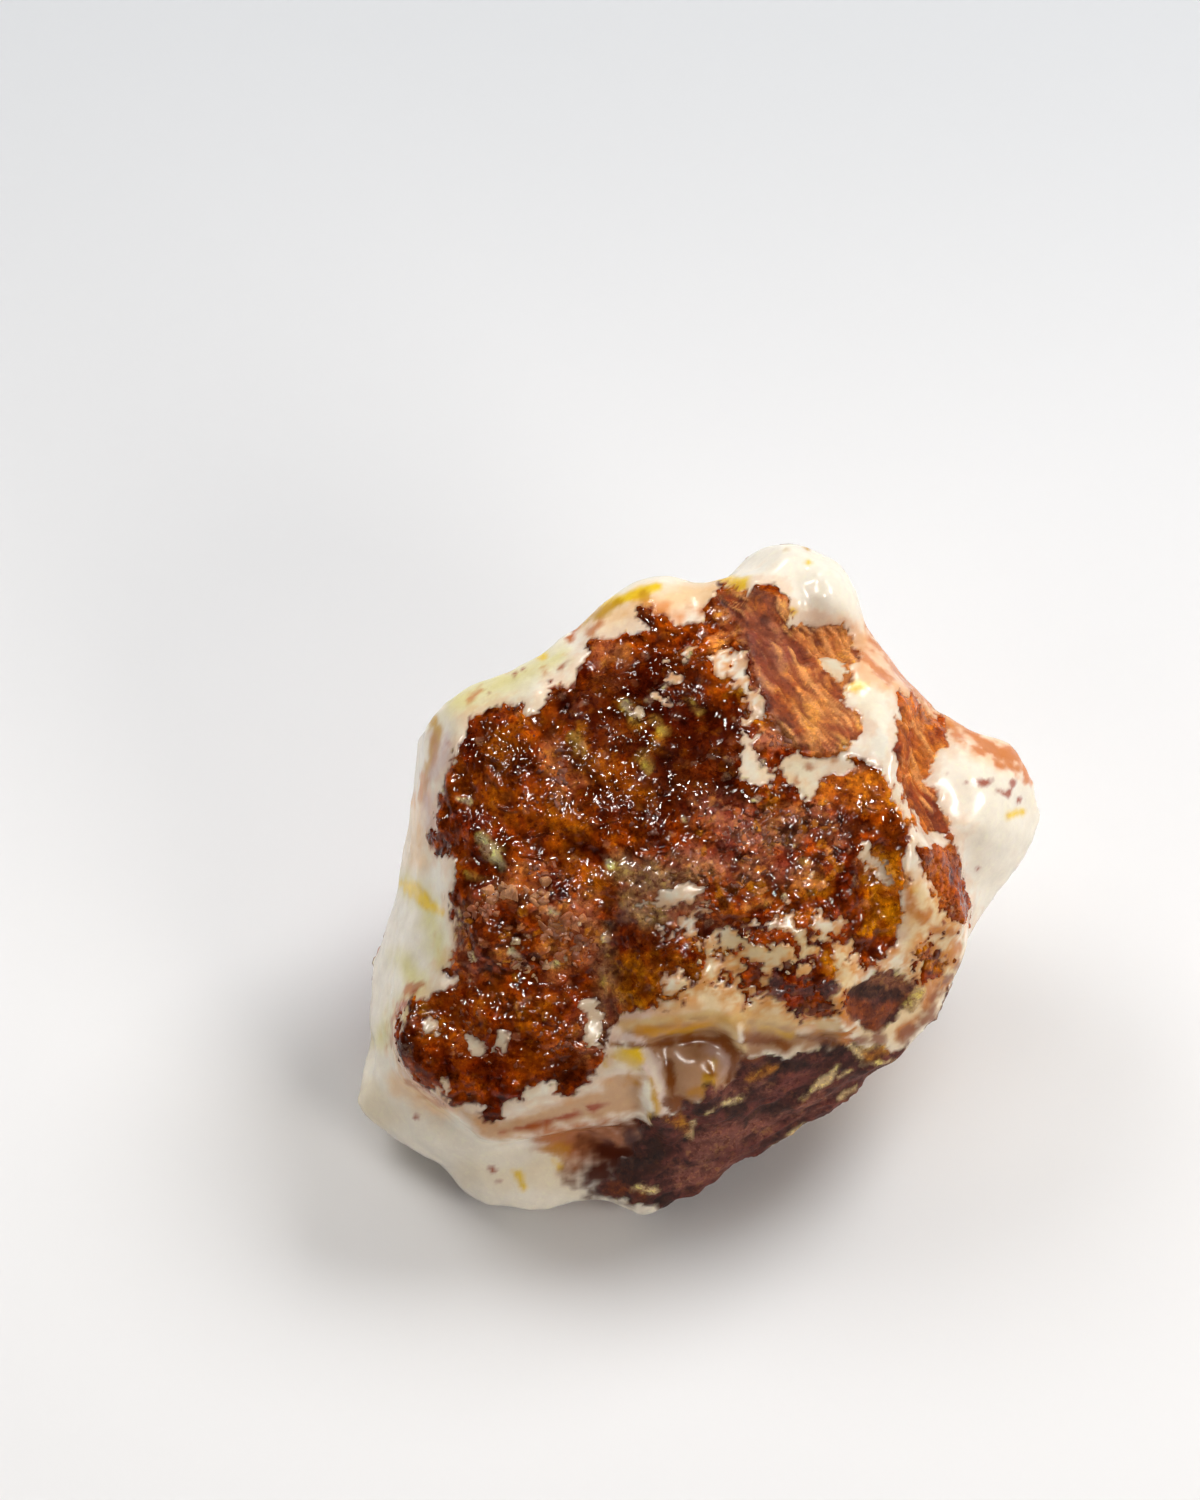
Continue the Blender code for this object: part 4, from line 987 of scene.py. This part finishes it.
def mottleGroup():
    # fine speckle of a rock colour and the height that goes with it
    group = bpy.data.node_groups.new("mottle", "ShaderNodeTree")
    for name, way, kind in (("Tone", "INPUT", "Color"), ("Amount", "INPUT", "Float"),
                            ("Colour", "OUTPUT", "Color"), ("Height", "OUTPUT", "Float")):
        group.interface.new_socket(name, in_out=way, socket_type="NodeSocket" + kind)
    start = group.nodes.new("NodeGroupInput")
    end = group.nodes.new("NodeGroupOutput")
    tone = start.outputs["Tone"]
    place = objectPlace(group)
    broad = noiseNode(group, place, *mottleSettings["broad"])
    fine = noiseNode(group, place, *mottleSettings["fine"])
    darkShare = rangeNode(group, broad, 0.33, 0.57)
    brightShare = rangeNode(group, fine, 0.5, 0.66)
    pits = rangeNode(group, noiseNode(group, place, *mottleSettings["pits"]), 0.38, 0.47)
    veins = rangeNode(group, noiseNode(group, place, *mottleSettings["veins"]), 0.52, 0.68)
    colour = mixNode(group, darkShare, tinted(group, tone, *mottleSettings["dark"]), tone)
    bright = tinted(group, tone, *mottleSettings["bright"])
    colour = mixNode(group, times(group, brightShare, darkShare), colour, bright)
    colour = mixNode(group, veins, colour, tinted(group, tone, *mottleSettings["gold"]))
    colour = mixNode(group, pits, tinted(group, colour, *mottleSettings["pitted"]), colour)
    group.links.new(mixNode(group, start.outputs["Amount"], tone, colour), end.inputs["Colour"])
    height = plus(group, times(group, broad, 0.6), times(group, fine, 0.4))
    group.links.new(height, end.inputs["Height"])
    return group


mottle = mottleGroup()


def newMaterial(name, inputs):
    material = bpy.data.materials.new(name)
    material.use_nodes = True
    tree = material.node_tree
    shader = tree.nodes["Principled BSDF"]
    for socket, value in inputs.items():
        shader.inputs[socket].default_value = value
    return material, tree, shader


def attribute(tree, name, output="Fac"):
    node = tree.nodes.new("ShaderNodeAttribute")
    node.attribute_name = name
    return node.outputs[output]


def mottled(tree, shader, amount):
    # the painted tone with its speckle as base colour; the speckle's height comes back
    node = tree.nodes.new("ShaderNodeGroup")
    node.node_tree = mottle
    tree.links.new(attribute(tree, "tone", "Color"), node.inputs["Tone"])
    joinInput(tree, amount, node.inputs["Amount"])
    tree.links.new(node.outputs["Colour"], shader.inputs["Base Color"])
    return node.outputs["Height"]


def bumped(tree, shader, height, strength, distance):
    bump = tree.nodes.new("ShaderNodeBump")
    bump.inputs["Strength"].default_value = strength
    bump.inputs["Distance"].default_value = distance
    tree.links.new(height, bump.inputs["Height"])
    tree.links.new(bump.outputs["Normal"], shader.inputs["Normal"])


opalInputs = {
    "Coat Roughness": 0.24,
    "Coat IOR": 1.4,
    "Specular IOR Level": 0.18,
    "Subsurface Weight": 0.35,
    "Subsurface Radius": (1.0, 0.85, 0.65),
    "Subsurface Scale": 0.0016,
}


def opalMaterial():
    material, tree, shader = newMaterial("opal", opalInputs)
    rock = attribute(tree, "rock")
    grit = mottled(tree, shader, plus(tree, times(tree, rock, 0.75), 0.05))
    roughness = plus(tree, times(tree, rock, 0.45), 0.26)
    tree.links.new(roughness, shader.inputs["Roughness"])
    tree.links.new(attribute(tree, "wet"), shader.inputs["Coat Weight"])
    bumped(tree, shader, times(tree, grit, plus(tree, rock, 0.12)), 0.6, 0.00025)
    return material


filmSettings = {
    # noises: size in m, detail, roughness
    "islands": (0.00055, 1.0, 0.5),
    "flocks": (0.0026, 1.0, 0.5),
    "dull": (0.0024, 2.0, 0.5),
    "height": 1.1,
}


def crustMaterial():
    # wet film in small islands and folds over the grit; the dry rock is rough
    material, tree, shader = newMaterial("crust", {"Specular IOR Level": 0.15})
    dry = attribute(tree, "dry")
    grit = mottled(tree, shader, mathNode(tree, "SUBTRACT", 0.85, times(tree, dry, 0.4)))
    grit = times(tree, grit, plus(tree, times(tree, dry, 1.6), 0.12))
    place = objectPlace(tree)
    dull = rangeNode(tree, noiseNode(tree, place, *filmSettings["dull"]), 0.4, 0.62)
    roughness = plus(tree, times(tree, dull, 0.1), 0.05)
    roughness = plus(tree, roughness, times(tree, dry, 0.6))
    tree.links.new(roughness, shader.inputs["Roughness"])
    islands = rangeNode(tree, noiseNode(tree, place, *filmSettings["islands"]), 0.58, 0.61)
    flocks = rangeNode(tree, noiseNode(tree, place, *filmSettings["flocks"]), 0.44, 0.52)
    folds = rangeNode(tree, attribute(tree, "film"), -0.09, 0.09)
    film = mathNode(tree, "MAXIMUM", times(tree, islands, flocks), folds)
    film = times(tree, film, attribute(tree, "wet"))
    bumped(tree, shader, plus(tree, grit, times(tree, film, filmSettings["height"])), 1.0, 0.00015)
    return material


grainInputs = {"Roughness": 0.4, "Coat Weight": 0.1, "Coat Roughness": 0.06, "Specular IOR Level": 0.15}


def grainMaterial():
    material, tree, shader = newMaterial("grain", grainInputs)
    grit = mottled(tree, shader, 0.5)
    bumped(tree, shader, grit, 0.4, 0.0002)
    return material


for piece, material in ((body, opalMaterial()), (crust, crustMaterial()), (grains, grainMaterial())):
    piece.data.materials.clear()
    piece.data.materials.append(material)
    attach(piece, "root")
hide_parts("opal_stone")
print("materials ready")

floorSettings = {
    "reach": 0.9,                   # m, half its width
    # painted shade: the floor's tone darkens towards the back, where the light falls off
    "near": (0.85, 0.85, 0.85),
    "far": (0.60, 0.62, 0.64),
    "fade": (0.0, 0.10),            # m, where the near tone ends and the far tone, painted darker as shade, begins
    "inputs": {"Roughness": 0.9, "Specular IOR Level": 0.1},
}


def floorPiece():
    flat = bmesh.new()
    bmesh.ops.create_grid(flat, x_segments=1, y_segments=1, size=floorSettings["reach"])
    piece = pieceOf("floor", meshOf("floor", flat))
    material, tree, shader = newMaterial("floor", floorSettings["inputs"])
    apart = tree.nodes.new("ShaderNodeSeparateXYZ")
    tree.links.new(objectPlace(tree), apart.inputs["Vector"])
    share = rangeNode(tree, apart.outputs["Y"], *floorSettings["fade"])
    tone = mixNode(tree, share, floorSettings["near"] + (1.0,), floorSettings["far"] + (1.0,))
    tree.links.new(tone, shader.inputs["Base Color"])
    piece.data.materials.append(material)


floorPiece()

lampColours = {"key": (0.99, 0.99, 1.0), "warm": (1.0, 0.94, 0.88), "top": (1.0, 1.0, 1.0)}
lampSettings = [
    # name, place in m, size, watts, colour; the glint lamps are only mirrored, the others only light
    ("keyRight", (0.26, 0.26, 0.41), 0.26, 2.05, "key"),
    ("keyLeft", (-0.26, 0.26, 0.41), 0.26, 0.95, "key"),
    ("sideRight", (0.36, -0.30, 0.28), 0.26, 1.1, "warm"),
    ("sideLeft", (-0.36, -0.18, 0.36), 0.26, 0.3, "warm"),
    ("top", (0.0, 0.20, 0.51), 0.26, 0.25, "top"),
    ("glintBack", (-0.05, 0.42, 0.40), 0.06, 1.1, "warm"),
    ("glintRight", (0.42, -0.02, 0.38), 0.06, 2.8, "warm"),
    ("glintLeft", (-0.40, 0.08, 0.40), 0.05, 1.8, "warm"),
    ("glintToe", (-0.24, -0.10, 0.51), 0.04, 2.6, "warm"),
    ("glintFront", (0.12, -0.30, 0.48), 0.04, 2.4, "warm"),
]
for name, place, size, watts, colour in lampSettings:
    lamp = bpy.data.lights.new(name, "AREA")
    lamp.shape = "DISK"
    lamp.size = size
    lamp.energy = watts
    lamp.color = lampColours[colour]
    holder = bpy.data.objects.new(name, lamp)
    bpy.context.scene.collection.objects.link(holder)
    holder.location = place
    holder.rotation_euler = (-Vector(place)).to_track_quat("-Z", "Y").to_euler()
    holder.visible_diffuse = not name.startswith("glint")
    holder.visible_glossy = name.startswith("glint")

worldSettings = {
    "colour": (1.0, 0.95, 0.9, 1.0),
    "turn": (0.3, 0.95),            # from the side to straight ahead of the stone
    "strength": (0.16, 0.06),
}
world = bpy.data.worlds.new("studio")
world.use_nodes = True
worldTree = world.node_tree
background = worldTree.nodes["Background"]
ahead = worldTree.nodes.new("ShaderNodeVectorMath")
ahead.operation = "DOT_PRODUCT"
ahead.inputs[1].default_value = towardsViewer
worldTree.links.new(worldTree.nodes.new("ShaderNodeTexCoord").outputs["Generated"], ahead.inputs[0])
strength = rangeNode(worldTree, ahead.outputs["Value"], *worldSettings["turn"], *worldSettings["strength"])
worldTree.links.new(strength, background.inputs["Strength"])
background.inputs["Color"].default_value = worldSettings["colour"]
world.cycles_visibility.glossy = False
bpy.context.scene.world = world
bpy.context.scene.view_settings.view_transform = "Standard"

cameraSettings = {
    # m, and on the sketch for the aim
    "distance": 1.2,
    "frameHeight": 0.100,
    "sensor": 36.0,
    "reach": 10.0,
    "aim": (600.0, 750.0, -8.0),
}
camera = bpy.data.cameras.new("camera")
camera.sensor_width = cameraSettings["sensor"]
camera.lens = cameraSettings["sensor"] * cameraSettings["distance"] / cameraSettings["frameHeight"]
camera.clip_end = cameraSettings["reach"]
cameraHolder = bpy.data.objects.new("camera", camera)
bpy.context.scene.collection.objects.link(cameraHolder)
aim = offSketch(*cameraSettings["aim"]) * mm
cameraHolder.location = aim + towardsViewer * cameraSettings["distance"]
cameraHolder.rotation_euler = sketchTurn.to_euler()
bpy.context.scene.camera = cameraHolder
print("camera and lights ready")
